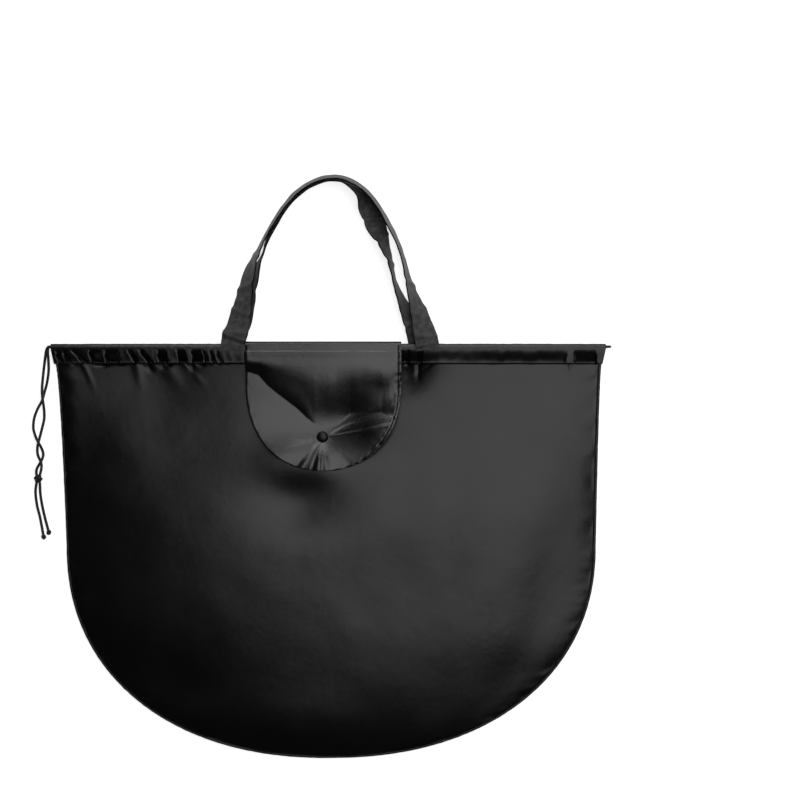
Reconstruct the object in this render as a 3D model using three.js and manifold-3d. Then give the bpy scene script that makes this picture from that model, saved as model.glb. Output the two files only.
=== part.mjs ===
// A drawstring bag for a motorcycle helmet, sewn from thin black nylon and laid flat on its back.
// Millimetres. X runs across the bag, Y up its face from the round bottom to the handles, Z away from
// the surface that it lies on. The origin is on that surface, under the middle of the pouch.

import * as THREE from "three";
import Module from "manifold-3d";

// Pouch
const BAG_WIDTH = 600; // across the two top corners
const BAG_HEIGHT = 449; // from the mouth's edge to the round bottom
const PANEL_TOP_WIDTH = 593; // across the panels at the line of stitches under the casing
const WAIST_LEFT = 284; // from the centre line to the left side, where the round bottom starts
const WAIST_RIGHT = 290;
const SHOULDER_DROP = 218; // from the mouth's edge to the start of the round bottom
const ROUND_POWER = 2.2; // 2 is an ellipse, more is squarer
const PUFF = 22; // how far the front panel stands up from the side seams, with air in the bag
const MOUTH_GAP = 10; // between the two casings, in the middle of the mouth
const CLOTH = 1; // modelled thickness of one layer
const GAP = 0.3; // between pieces that touch

// Side seam, rolled round both panels' edges
const SEAM_WIDTH = 3.2;
const SEAM_SLIT = 1.2; // between the two layers that it holds

// Casing and its cord
const CASING_DEPTH = 20.6; // from the mouth's edge to the line of stitches
const CORD_DIAMETER = 3;
const CORD_CLEARANCE = 0.5;
const GATHER_DEPTH = 2.8; // how deep the casing's folds are

// Flap with its button
const FLAP_WIDTH = 168;
const FLAP_CENTRE = -5;
const FLAP_DROP = 139; // from the fold at the mouth to its round end
const FLAP_STRAIGHT = 46; // length of its straight sides
const FLAP_OVERHANG = 2.4; // how far the fold stands out past the mouth's edge
const BUTTON_DIAMETER = 12.5;
const BUTTON_HEIGHT = 3.6;
const BUTTON_SHANK = 4;
const BUTTON_DROP = 103; // from the fold to the button's centre

// Handles, two flat straps
const STRAP_WIDTH = 25;
const STRAP_THICKNESS = 1.4;
const HANDLE_SPAN = 208; // between the centres of one strap's two ends
const HANDLE_RISE = 180.5; // from the mouth's edge to the top of the arch
const HANDLE_CENTRE = 2;

// Knots in the cord
const TIE_KNOT = { across: 10.5, along: 9.5, high: 7 };
const END_KNOT = { across: 6.4, along: 5.6, high: 5.4 };

// Places that follow from the sizes
const TOP = BAG_HEIGHT / 2;
const BOTTOM = -BAG_HEIGHT / 2;
const STITCH = TOP - CASING_DEPTH;
const SHOULDER = TOP - SHOULDER_DROP;
const SEAM_HEIGHT = 2 * CLOTH + SEAM_SLIT;
const SEAM_MIDDLE = SEAM_HEIGHT - CLOTH / 2; // height of the front layer in the seam
const BORE = CORD_DIAMETER / 2 + CORD_CLEARANCE;
const TUBE = BORE + CLOTH; // outer radius of the casing round its cord
const TUBE_Y = TOP - TUBE;
const BACK_TUBE_Z = TUBE;
const FLAP_FOLD = TOP + FLAP_OVERHANG;
const BUTTON_Y = FLAP_FOLD - BUTTON_DROP;
const BUTTON_X = FLAP_CENTRE - 1;

const CLOTH_BLACK = new THREE.Color(0.022, 0.022, 0.024);
const CORD_BLACK = new THREE.Color(0.012, 0.012, 0.013);
const BUTTON_BLACK = new THREE.Color(0.01, 0.01, 0.011);
const nylon = new THREE.MeshStandardMaterial({ color: CLOTH_BLACK, roughness: 0.42, metalness: 0 });
const cordWeave = new THREE.MeshStandardMaterial({ color: CORD_BLACK, roughness: 0.75, metalness: 0 });
const plastic = new THREE.MeshStandardMaterial({ color: BUTTON_BLACK, roughness: 0.3, metalness: 0 });

// Small helpers
const mix = (a, b, s) => a + (b - a) * s;
const clamp = (v, low, high) => Math.min(high, Math.max(low, v));
const smooth = (s) => {
  const c = clamp(s, 0, 1);
  return c * c * (3 - 2 * c);
};
const bell = (d) => Math.exp(-d * d);
const radians = THREE.MathUtils.degToRad;

// A closed solid from triangles that share corners.
function geometryOf(points, faces) {
  const geometry = new THREE.BufferGeometry();
  geometry.setAttribute("position", new THREE.Float32BufferAttribute(points.flat(), 3));
  geometry.setIndex(faces.flat());
  geometry.computeVertexNormals();
  return geometry;
}

// A sheet from two grids of the same size: its upper side, seen from above with rows running away
// from the viewer's right hand, and its lower side. The rim joins them.
function sheetSolid(upper, lower) {
  const rows = upper.length;
  const columns = upper[0].length;
  const half = rows * columns;
  const points = [...upper.flat(), ...lower.flat()];
  const faces = [];
  const at = (row, column) => row * columns + column;
  for (let r = 0; r + 1 < rows; r++)
    for (let c = 0; c + 1 < columns; c++) {
      const [a, b, d, e] = [at(r, c), at(r, c + 1), at(r + 1, c + 1), at(r + 1, c)];
      faces.push([a, e, d], [a, d, b]);
      faces.push([half + a, half + d, half + e], [half + a, half + b, half + d]);
    }
  const rim = [];
  for (let c = 0; c < columns; c++) rim.push(at(0, c));
  for (let r = 1; r < rows; r++) rim.push(at(r, columns - 1));
  for (let c = columns - 2; c >= 0; c--) rim.push(at(rows - 1, c));
  for (let r = rows - 2; r > 0; r--) rim.push(at(r, 0));
  rim.forEach((a, i) => {
    const b = rim[(i + 1) % rim.length];
    faces.push([a, b, half + b], [a, half + b, half + a]);
  });
  return geometryOf(points, faces);
}

// A solid lofted through closed sections of equally many points, with flat ends. The sections turn
// counterclockwise about the way that they follow each other. With inner sections it is a pipe.
function loftSolid(sections, innerSections = null) {
  const points = [];
  const faces = [];
  const skin = (loops, first, inward) => {
    const count = loops[0].length;
    loops.forEach((loop) => points.push(...loop));
    for (let s = 0; s + 1 < loops.length; s++)
      for (let k = 0; k < count; k++) {
        const [a, b] = [first + s * count + k, first + s * count + ((k + 1) % count)];
        const [c, d] = [a + count, b + count];
        if (inward) faces.push([a, c, d], [a, d, b]);
        else faces.push([a, d, c], [a, b, d]);
      }
    return [first, first + (loops.length - 1) * count];
  };
  const outer = skin(sections, 0, false);
  const inner = innerSections ? skin(innerSections, points.length, true) : null;
  [0, 1].forEach((end) => {
    const ring = sections.at(-end);
    const hole = innerSections ? innerSections.at(-end) : [];
    const plane = flatten(ring, [...ring, ...hole]);
    const contour = plane.slice(0, ring.length);
    const holes = hole.length ? [plane.slice(ring.length)] : [];
    const index = (i) => (i < ring.length ? outer[end] + i : inner[end] + i - ring.length);
    THREE.ShapeUtils.triangulateShape(contour, holes).forEach(([a, b, c]) => {
      const face = [index(a), index(b), index(c)];
      faces.push(end === 0 ? face.reverse() : face);
    });
  });
  return geometryOf(points, faces);
}

// Points of a section in the plane of its outer ring, for its end faces.
function flatten(ring, points) {
  const v = ring.map((p) => new THREE.Vector3(...p));
  const along = v[1].clone().sub(v[0]).normalize();
  const normal = new THREE.Vector3();
  for (let i = 1; i + 1 < v.length; i++)
    normal.add(v[i].clone().sub(v[0]).cross(v[i + 1].clone().sub(v[0])));
  normal.normalize();
  const across = normal.clone().cross(along);
  return points.map((p) => {
    const offset = new THREE.Vector3(...p).sub(v[0]);
    return new THREE.Vector2(offset.dot(along), offset.dot(across));
  });
}

// The pouch's outline, one point for each step down its side: straight, then a rounded bottom.
const SIDE_STEPS = 6;
const SIDE_CROWDING = 1.8; // more than 1 puts the first steps closer together
const SIDE_DRAW = 0.6; // less than 1 draws the sides in soon below the line of stitches
const ROUND_STEPS = 12;
const LAST_TURN = 86.5; // degrees round the bottom, where the outline closes with a short flat

function outlinePoint(side, step) {
  const waist = side < 0 ? WAIST_LEFT : WAIST_RIGHT;
  if (step <= SIDE_STEPS) {
    const share = (step / SIDE_STEPS) ** SIDE_CROWDING;
    return [
      side * mix(PANEL_TOP_WIDTH / 2, waist, share ** SIDE_DRAW),
      mix(STITCH, SHOULDER, share),
    ];
  }
  const turn = radians((LAST_TURN * (step - SIDE_STEPS)) / ROUND_STEPS);
  const power = 2 / ROUND_POWER;
  return [
    side * waist * Math.cos(turn) ** power,
    mix(SHOULDER, BOTTOM, Math.sin(turn) ** power),
  ];
}

// The same outline, moved inwards square to itself.
function insetPoint(side, step, inset) {
  const last = SIDE_STEPS + ROUND_STEPS;
  const before = outlinePoint(side, Math.max(step - 1, 0));
  const after = outlinePoint(side, Math.min(step + 1, last));
  const here = outlinePoint(side, step);
  const [dx, dy] = [after[0] - before[0], after[1] - before[1]];
  const length = Math.hypot(dx, dy);
  const y = here[1] - (side * inset * dx) / length;
  return [here[0] + (side * inset * dy) / length, Math.min(y, STITCH)];
}

// Shape of the front panel. across runs from -1 to 1 between the side seams, down from 0 to 1.
// Broad swells and dents: place, reach and rise as shares of the half width, the height and the puff.
const SWELLS = [
  { across: -0.84, down: 0.23, reachAcross: 0.2, reachDown: 0.09, rise: 0.34 },
  { across: -0.86, down: 0.04, reachAcross: 0.22, reachDown: 0.08, rise: -0.14 },
  { across: -0.42, down: 0.1, reachAcross: 0.14, reachDown: 0.12, rise: -0.1 },
  { across: -0.62, down: 0.7, reachAcross: 0.34, reachDown: 0.12, rise: -0.2 },
  { across: -0.3, down: 0.86, reachAcross: 0.3, reachDown: 0.1, rise: -0.1 },
  { across: -0.08, down: 0.36, reachAcross: 0.24, reachDown: 0.07, rise: -0.12 },
  { across: -0.18, down: 0.52, reachAcross: 0.22, reachDown: 0.12, rise: 0.12 },
  { across: 0.3, down: 0.05, reachAcross: 0.1, reachDown: 0.07, rise: -0.26 },
  { across: 0.46, down: 0.09, reachAcross: 0.12, reachDown: 0.09, rise: 0.1 },
  { across: 0.8, down: 0.3, reachAcross: 0.4, reachDown: 0.2, rise: 0.09 },
  { across: 0.28, down: 0.68, reachAcross: 0.34, reachDown: 0.13, rise: 0.12 },
];
const MOUTH_SHARE = 0.45; // height at the line of stitches, as a share of the puff
const SIDE_POWER = 4;
const END_POWER = 5;
const FULL_DOWN = 0.6; // where the panel stands highest

function panelRise(across, down) {
  const body = (1 - Math.abs(across) ** SIDE_POWER) * (1 - down ** END_POWER);
  const crown = mix(MOUTH_SHARE, 1, smooth(down / FULL_DOWN));
  const swells = SWELLS.reduce(
    (sum, s) =>
      sum + s.rise * bell((across - s.across) / s.reachAcross) * bell((down - s.down) / s.reachDown),
    0,
  );
  return PUFF * body * (crown + swells);
}

// The casing's gathers: place and width as shares of the bag's half width, depth as a share of
// GATHER_DEPTH, how far the fold runs down the panel as a share of the casing's depth, and its lean
// to the right on the way down.
const GATHERS = [
  { at: -0.95, width: 0.018, depth: 0.8, runs: 0.3, lean: 0.1 },
  { at: -0.891, width: 0.014, depth: 1.1, runs: 0.4, lean: 1 },
  { at: -0.83, width: 0.02, depth: 1.1, runs: 0.4, lean: 0.2 },
  { at: -0.772, width: 0.02, depth: 1, runs: 0.3, lean: 0 },
  { at: -0.689, width: 0.015, depth: 1.1, runs: 0.8, lean: 0.5 },
  { at: -0.635, width: 0.014, depth: 1.1, runs: 1.2, lean: 0.6 },
  { at: -0.58, width: 0.016, depth: 1, runs: 0.4, lean: 0 },
  { at: -0.521, width: 0.015, depth: 1, runs: 1.1, lean: 0.3 },
  { at: -0.462, width: 0.017, depth: 1, runs: 0.4, lean: 0 },
  { at: -0.4, width: 0.016, depth: 0.6, runs: 0.3, lean: 0.3 },
  { at: 0.291, width: 0.014, depth: 0.9, runs: 0.3, lean: 0 },
  { at: 0.332, width: 0.016, depth: 1.2, runs: 1.4, lean: 0 },
  { at: 0.42, width: 0.02, depth: 0.8, runs: 0.9, lean: -1.2 },
  { at: 0.6, width: 0.03, depth: 0.3, runs: 0.2, lean: 0.1 },
  { at: 0.74, width: 0.03, depth: 0.3, runs: 0.2, lean: 0.1 },
  { at: 0.88, width: 0.016, depth: 0.7, runs: 0.9, lean: 0.3 },
  { at: 0.945, width: 0.018, depth: 0.8, runs: 0.3, lean: 0 },
];

// Height that the gathers take away, below is the distance down from the line of stitches. They
// fade out towards the side seams.
const EDGE_FADE = 0.12; // share of the half width
function gatherDip(across, below) {
  const sum = GATHERS.reduce((total, g) => {
    const place = g.at + (g.lean * (below + CASING_DEPTH / 2)) / (BAG_WIDTH / 2);
    const fade = 1 - smooth(below / (g.runs * CASING_DEPTH));
    return total + g.depth * bell((across - place) / g.width) * fade;
  }, 0);
  return GATHER_DEPTH * sum * smooth((1 - Math.abs(across)) / EDGE_FADE);
}

// Stations across the bag, from left to right: each gather, and half way to the next one.
const CLOSEST = 0.0125; // a station nearer to the one before it is left out
function gatherStations() {
  const marks = [-1, -0.985, -0.3, -0.2, -0.1, 0, 0.1, 0.2, 0.53, 0.67, 0.985, 1];
  GATHERS.forEach((g, i) => {
    const next = GATHERS[i + 1] ?? g;
    marks.push(g.at, next.at - g.at < 0.1 ? (g.at + next.at) / 2 : g.at + 2 * g.width);
  });
  return marks.sort((a, b) => a - b).filter((m, i) => i === 0 || m - marks[i - 1] > CLOSEST);
}

// Height of the front panel's middle.
function panelHeight(across, down, y) {
  return SEAM_MIDDLE + panelRise(across, down) - gatherDip(across, STITCH - y);
}

// The same by place, for what lies on the panel above the round bottom.
function panelHeightAt(x, y) {
  const below = (STITCH - y) / (STITCH - SHOULDER);
  const waist = x < 0 ? WAIST_LEFT : WAIST_RIGHT;
  const drawn = clamp(below, 0, 1) ** SIDE_DRAW;
  const half = mix(PANEL_TOP_WIDTH / 2, waist, drawn) - SEAM_WIDTH - GAP;
  return panelHeight(clamp(x / half, -1, 1), clamp((STITCH - y) / (STITCH - BOTTOM), 0, 1), y);
}

function frontPanel() {
  const inset = SEAM_WIDTH + GAP;
  const last = SIDE_STEPS + ROUND_STEPS;
  const [upper, lower] = [[], []];
  for (let step = 0; step <= last; step++) {
    const left = insetPoint(-1, step, inset);
    const right = insetPoint(1, step, inset);
    const middles = gatherStations().map((across) => {
      const x = mix(left[0], right[0], (across + 1) / 2);
      const y = mix(left[1], right[1], (across + 1) / 2) - (step === 0 ? GAP : 0);
      const down = step === last ? 1 : clamp((STITCH - y) / (STITCH - BOTTOM), 0, 1);
      return [x, y, panelHeight(across, down, y)];
    });
    upper.push(middles.map(([x, y, z]) => [x, y, z + CLOTH / 2]));
    lower.push(middles.map(([x, y, z]) => [x, y, z - CLOTH / 2]));
  }
  return sheetSolid(upper, lower);
}

// The back panel lies flat.
function backPanel() {
  const inset = SEAM_WIDTH + GAP;
  const last = SIDE_STEPS + ROUND_STEPS;
  const shape = new THREE.Shape();
  const edge = [];
  for (let step = 0; step <= last; step++) edge.push(insetPoint(-1, step, inset));
  for (let step = last; step >= 0; step--) edge.push(insetPoint(1, step, inset));
  edge[0][1] -= GAP;
  edge.at(-1)[1] -= GAP;
  shape.setFromPoints(edge.map(([x, y]) => new THREE.Vector2(x, y)));
  return new THREE.ExtrudeGeometry(shape, { depth: CLOTH, bevelEnabled: false });
}

// The rolled seam follows the outline from one end of the casing to the other.
function edgeSeam() {
  const last = SIDE_STEPS + ROUND_STEPS;
  const sections = [];
  const section = (side, step) => {
    const place = (inset, z) => {
      const [x, y] = insetPoint(side, step, inset);
      return [x, step === 0 ? y - GAP : y, z];
    };
    return [
      place(0, SEAM_HEIGHT * 0.5),
      place(SEAM_WIDTH * 0.2, SEAM_HEIGHT),
      place(SEAM_WIDTH, SEAM_HEIGHT),
      place(SEAM_WIDTH, 0),
      place(SEAM_WIDTH * 0.2, 0),
    ];
  };
  for (let step = 0; step <= last; step++) sections.push(section(-1, step));
  for (let step = last; step >= 0; step--) sections.push(section(1, step));
  return loftSolid(sections.reverse());
}

// Height of the front casing's cord channel: the casings meet at the corners.
// Between the stations of its height it is straight, so that the cord inside can follow it.
const CORNER_POWER = 4;
const HEIGHT_STATIONS = [1, 0.985, 0.92, 0.84, 0.74, 0.6, 0.4, 0.2];
HEIGHT_STATIONS.push(0, ...HEIGHT_STATIONS.map((share) => -share).reverse());
function frontTubeHeight(x) {
  const share = clamp(Math.abs(x) / (BAG_WIDTH / 2), 0, 1);
  const i = Math.max(1, HEIGHT_STATIONS.findIndex((s) => s <= share));
  const [wide, near] = [HEIGHT_STATIONS[i - 1], HEIGHT_STATIONS[i]];
  const open = mix(1 - near ** CORNER_POWER, 1 - wide ** CORNER_POWER, (share - near) / (wide - near));
  return BACK_TUBE_Z + 2 * TUBE + GAP + MOUTH_GAP * open;
}

// One casing: a pipe round the cord, with a flat tail of two layers down to the stitches.
// Sections follow stations across the bag, from right to left. tail is the height at the stitches,
// and dip is the depth of the gathers on the way up to the pipe.
const TAIL_STEPS = 3;
const ARC_STEPS = 5;
function casingSolid(stations, centreHeight, tail, dip) {
  const endHalf = BAG_WIDTH / 2;
  const tailHalf = PANEL_TOP_WIDTH / 2;
  const outer = [];
  const inner = [];
  stations.forEach((share) => {
    const x = share * endHalf;
    const centre = centreHeight(x);
    const low = tail(share);
    const leg = []; // from the stitches up to the pipe
    for (let k = 0; k < TAIL_STEPS; k++) {
      const up = k / TAIL_STEPS;
      const y = mix(STITCH, TUBE_Y - TUBE * 0.8, up);
      const taper = mix(tailHalf, endHalf, up) / endHalf;
      const z = mix(low, centre, smooth(up)) - dip(share, y) * Math.sin(Math.PI * up);
      const half = mix(CLOTH, TUBE * 0.6, smooth((up - 0.4) / 0.8));
      leg.push({ x: x * taper, y, z, half });
    }
    const ring = leg.map((p) => [p.x, p.y, p.z + p.half]);
    for (let k = 0; k <= ARC_STEPS; k++) {
      const turn = radians(mix(143, -143, k / ARC_STEPS));
      ring.push([x, TUBE_Y + TUBE * Math.cos(turn), centre + TUBE * Math.sin(turn)]);
    }
    leg.reverse().forEach((p) => ring.push([p.x, p.y, p.z - p.half]));
    outer.push(ring);
    const sides = 8;
    inner.push(
      Array.from({ length: sides }, (_, k) => {
        const turn = radians(mix(150, -210, k / sides));
        return [x, TUBE_Y + BORE * Math.cos(turn), centre + BORE * Math.sin(turn)];
      }),
    );
  });
  return loftSolid(outer, inner);
}

function frontCasing() {
  const stations = [...HEIGHT_STATIONS, ...gatherStations()].sort((a, b) => b - a);
  const apart = stations.filter((share, i) => i === 0 || stations[i - 1] - share > CLOSEST);
  const tail = (share) => SEAM_MIDDLE + CLOTH / 2 + panelRise(share, 0) - gatherDip(share, 0);
  return casingSolid(apart, frontTubeHeight, tail, (share, y) => gatherDip(share, STITCH - y));
}

function backCasing() {
  const count = 16;
  const stations = Array.from({ length: count + 1 }, (_, k) => mix(1, -1, k / count));
  return casingSolid(stations, () => BACK_TUBE_Z, () => CLOTH, () => 0);
}

// The flap. Its end is round in the same way as the pouch.
function flapHalfWidth(y) {
  const straight = FLAP_FOLD - FLAP_STRAIGHT;
  if (y >= straight) return FLAP_WIDTH / 2;
  const share = clamp((straight - y) / (FLAP_DROP - FLAP_STRAIGHT), 0, 1);
  return (FLAP_WIDTH / 2) * (1 - share ** ROUND_POWER) ** (1 / ROUND_POWER);
}

// Rays from the button: direction in degrees, distance at which the cloth is highest and how high it
// stands there over what it lies on. Between two rays both change evenly.
const FLAP_RAYS = [
  { towards: 0, crest: 50, rise: 6.8 },
  { towards: 9, crest: 48, rise: 8 },
  { towards: 28, crest: 62, rise: 1.2 },
  { towards: 45, crest: 90, rise: 6 },
  { towards: 60, crest: 84, rise: 6.8 },
  { towards: 78, crest: 74, rise: 6.8 },
  { towards: 94, crest: 55, rise: 5 },
  { towards: 112, crest: 75, rise: 6.2 },
  { towards: 120, crest: 84, rise: 4.6 },
  { towards: 131, crest: 100, rise: 0.4 },
  { towards: 145, crest: 95, rise: 1.8 },
  { towards: 175, crest: 80, rise: 4.4 },
  { towards: 203, crest: 62, rise: 5.4 },
  { towards: 227, crest: 38, rise: 1.6 },
  { towards: 238, crest: 32, rise: 3 },
  { towards: 251, crest: 32, rise: 0.6 },
  { towards: 267, crest: 30, rise: 3 },
  { towards: 289, crest: 36, rise: 0.4 },
  { towards: 315, crest: 50, rise: 2 },
  { towards: 340, crest: 56, rise: 4.4 },
  { towards: 360, crest: 50, rise: 6.8 },
];
const FOLD_START = 8; // distance from the button within which the cloth lies down
const FOLD_BEND = 0.09; // degrees for each millimetre, by which the long fold at the upper left curves

function flapLift(x, y) {
  const [dx, dy] = [x - BUTTON_X, y - BUTTON_Y];
  const away = Math.hypot(dx, dy);
  const straight = (THREE.MathUtils.radToDeg(Math.atan2(dy, dx)) + 360) % 360;
  const turn = straight - FOLD_BEND * (away - 20) * bell((straight - 133) / 20);
  const i = Math.max(1, FLAP_RAYS.findIndex((ray) => ray.towards >= turn));
  const [before, after] = [FLAP_RAYS[i - 1], FLAP_RAYS[i]];
  const share = clamp((turn - before.towards) / (after.towards - before.towards), 0, 1);
  const crest = mix(before.crest, after.crest, share);
  const reach = clamp((away - FOLD_START) / (crest - FOLD_START), 0, 1);
  const lift = mix(before.rise, after.rise, share) * Math.sin((Math.PI / 2) * reach);
  return lift * smooth((FLAP_FOLD - y) / 16);
}

// Height of what the flap lies on: the panel, and the casing's pipe at the mouth. In between it
// hangs straight.
const TENT_START = 135; // place up the bag where it leaves the panel
function underFlap(x, y) {
  const ridge = frontTubeHeight(x) + TUBE;
  const panel = panelHeightAt(x, Math.min(y, STITCH)) + CLOTH / 2;
  return mix(panel, Math.max(ridge, panel), smooth((y - TENT_START) / (TUBE_Y - TENT_START)));
}

function flapPoint(column, y) {
  const x = FLAP_CENTRE + column * flapHalfWidth(y);
  const middle = underFlap(x, y) + GAP + CLOTH / 2 + flapLift(x, y);
  return [x, y, middle];
}

async function flap(wasm) {
  const columns = 20;
  const columnAt = (c) => Math.sin((Math.PI / 2) * mix(-1, 1, c / columns));
  const [outside, inside] = [[], []];
  // The part that comes up from the back casing and folds over the mouth.
  const turnY = TUBE_Y + TUBE * 0.5;
  const start = BACK_TUBE_Z - TUBE * 0.4;
  const turnSteps = 5;
  const riseRows = 2;
  const row = (place) => {
    outside.push([]);
    inside.push([]);
    for (let c = 0; c <= columns; c++) {
      const [out, low] = place(columnAt(c));
      outside.at(-1).push(out);
      inside.at(-1).push(low);
    }
  };
  const foldRadius = FLAP_FOLD - turnY;
  for (let k = 0; k < riseRows; k++)
    row((column) => {
      const x = FLAP_CENTRE + (column * FLAP_WIDTH) / 2;
      const crown = flapPoint(column, turnY)[2] + CLOTH / 2 - foldRadius;
      const y = mix(TOP + GAP, FLAP_FOLD - CLOTH, smooth((2 * k) / riseRows));
      const z = mix(start, crown, k / riseRows);
      return [
        [x, y + CLOTH, z],
        [x, y, z],
      ];
    });
  for (let k = 0; k < turnSteps; k++)
    row((column) => {
      const x = FLAP_CENTRE + (column * FLAP_WIDTH) / 2;
      const crown = flapPoint(column, turnY)[2] + CLOTH / 2 - foldRadius;
      const turn = radians((90 * k) / turnSteps);
      const place = (radius) => [x, turnY + radius * Math.cos(turn), crown + radius * Math.sin(turn)];
      return [place(foldRadius), place(foldRadius - CLOTH)];
    });
  const rows = 16;
  for (let k = 0; k <= rows; k++) {
    const share = k / rows;
    const end = FLAP_FOLD - FLAP_DROP;
    const y = mix(turnY, end, share === 1 ? 0.998 : Math.sin((Math.PI / 2) * share) ** 0.85);
    row((column) => {
      const [x, , z] = flapPoint(column, y);
      return [
        [x, y, z + CLOTH / 2],
        [x, y, z - CLOTH / 2],
      ];
    });
  }
  const hole = new THREE.CylinderGeometry(BUTTON_SHANK / 2 + GAP, BUTTON_SHANK / 2 + GAP, 30, 12);
  hole.rotateX(Math.PI / 2);
  hole.translate(BUTTON_X, BUTTON_Y, underFlap(BUTTON_X, BUTTON_Y));
  return cut(wasm, sheetSolid(outside, inside), hole);
}

// One solid cut by another.
function manifoldOf(wasm, geometry) {
  const source = geometry.index ? geometry.toNonIndexed() : geometry;
  const position = source.getAttribute("position").array;
  const corners = new Map();
  const points = [];
  const triangles = [];
  for (let i = 0; i < position.length; i += 3) {
    const key = [position[i], position[i + 1], position[i + 2]].map((v) => v.toFixed(4)).join();
    if (!corners.has(key)) {
      corners.set(key, points.length / 3);
      points.push(position[i], position[i + 1], position[i + 2]);
    }
    triangles.push(corners.get(key));
  }
  return new wasm.Manifold(
    new wasm.Mesh({
      numProp: 3,
      vertProperties: new Float32Array(points),
      triVerts: new Uint32Array(triangles),
    }),
  );
}

function cut(wasm, geometry, tool) {
  const mesh = manifoldOf(wasm, geometry).subtract(manifoldOf(wasm, tool)).getMesh();
  const made = new THREE.BufferGeometry();
  made.setAttribute("position", new THREE.Float32BufferAttribute([...mesh.vertProperties], 3));
  made.setIndex([...mesh.triVerts]);
  made.computeVertexNormals();
  return made;
}

// The button: a domed cap on a shank that stands on the front panel, through the flap.
function button() {
  const foot = panelHeightAt(BUTTON_X, BUTTON_Y) + CLOTH / 2 + GAP;
  const cap = underFlap(BUTTON_X, BUTTON_Y) + 2 * GAP + CLOTH + flapLift(BUTTON_X, BUTTON_Y);
  const radius = BUTTON_DIAMETER / 2;
  const profile = [
    [0, foot],
    [BUTTON_SHANK / 2, foot],
    [BUTTON_SHANK / 2, cap + GAP],
    [radius * 0.86, cap + GAP],
    [radius, cap + BUTTON_HEIGHT * 0.35],
    [radius * 0.9, cap + BUTTON_HEIGHT * 0.72],
    [radius * 0.5, cap + BUTTON_HEIGHT * 0.96],
    [0, cap + BUTTON_HEIGHT],
  ];
  const geometry = new THREE.LatheGeometry(profile.map(([r, z]) => new THREE.Vector2(r, z)), 16);
  geometry.rotateX(Math.PI / 2);
  geometry.translate(BUTTON_X, BUTTON_Y, 0);
  return geometry;
}

// A handle's line: across from -1 to 1 between its ends, up as a share of the rise, roll in degrees
// with the inner edge raised, and lift of its lower edge as a share of the height of its seat.
const FRONT_HANDLE = [
  { across: -1.006, up: -0.04, roll: 0, lift: 1 },
  { across: -1.006, up: -0.01, roll: 2, lift: 1 },
  { across: -0.992, up: 0.04, roll: 6, lift: 0.86 },
  { across: -0.955, up: 0.1, roll: 16, lift: 0.6 },
  { across: -0.93, up: 0.17, roll: 27, lift: 0.34 },
  { across: -0.905, up: 0.24, roll: 40, lift: 0.14 },
  { across: -0.88, up: 0.31, roll: 50, lift: 0.04 },
  { across: -0.845, up: 0.41, roll: 57, lift: 0 },
  { across: -0.795, up: 0.49, roll: 69, lift: 0 },
  { across: -0.74, up: 0.56, roll: 80, lift: 0 },
  { across: -0.68, up: 0.635, roll: 87, lift: 0 },
  { across: -0.585, up: 0.73, roll: 88, lift: 0 },
  { across: -0.47, up: 0.83, roll: 86, lift: 0 },
  { across: -0.32, up: 0.92, roll: 84, lift: 0 },
  { across: -0.14, up: 0.98, roll: 83, lift: 0 },
  { across: 0.05, up: 1, roll: 84, lift: 0 },
  { across: 0.22, up: 0.975, roll: 86, lift: 0 },
  { across: 0.37, up: 0.915, roll: 87, lift: 0 },
  { across: 0.5, up: 0.825, roll: 87, lift: 0 },
  { across: 0.615, up: 0.71, roll: 86, lift: 0 },
  { across: 0.715, up: 0.59, roll: 87, lift: 0 },
  { across: 0.77, up: 0.49, roll: 87, lift: 0 },
  { across: 0.805, up: 0.4, roll: 80, lift: 0 },
  { across: 0.85, up: 0.31, roll: 67, lift: 0.02 },
  { across: 0.905, up: 0.215, roll: 50, lift: 0.12 },
  { across: 0.955, up: 0.125, roll: 34, lift: 0.42 },
  { across: 0.99, up: 0.05, roll: 17, lift: 0.76 },
  { across: 1.01, up: -0.005, roll: 4, lift: 1 },
  { across: 1.015, up: -0.04, roll: 0, lift: 1 },
];
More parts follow.
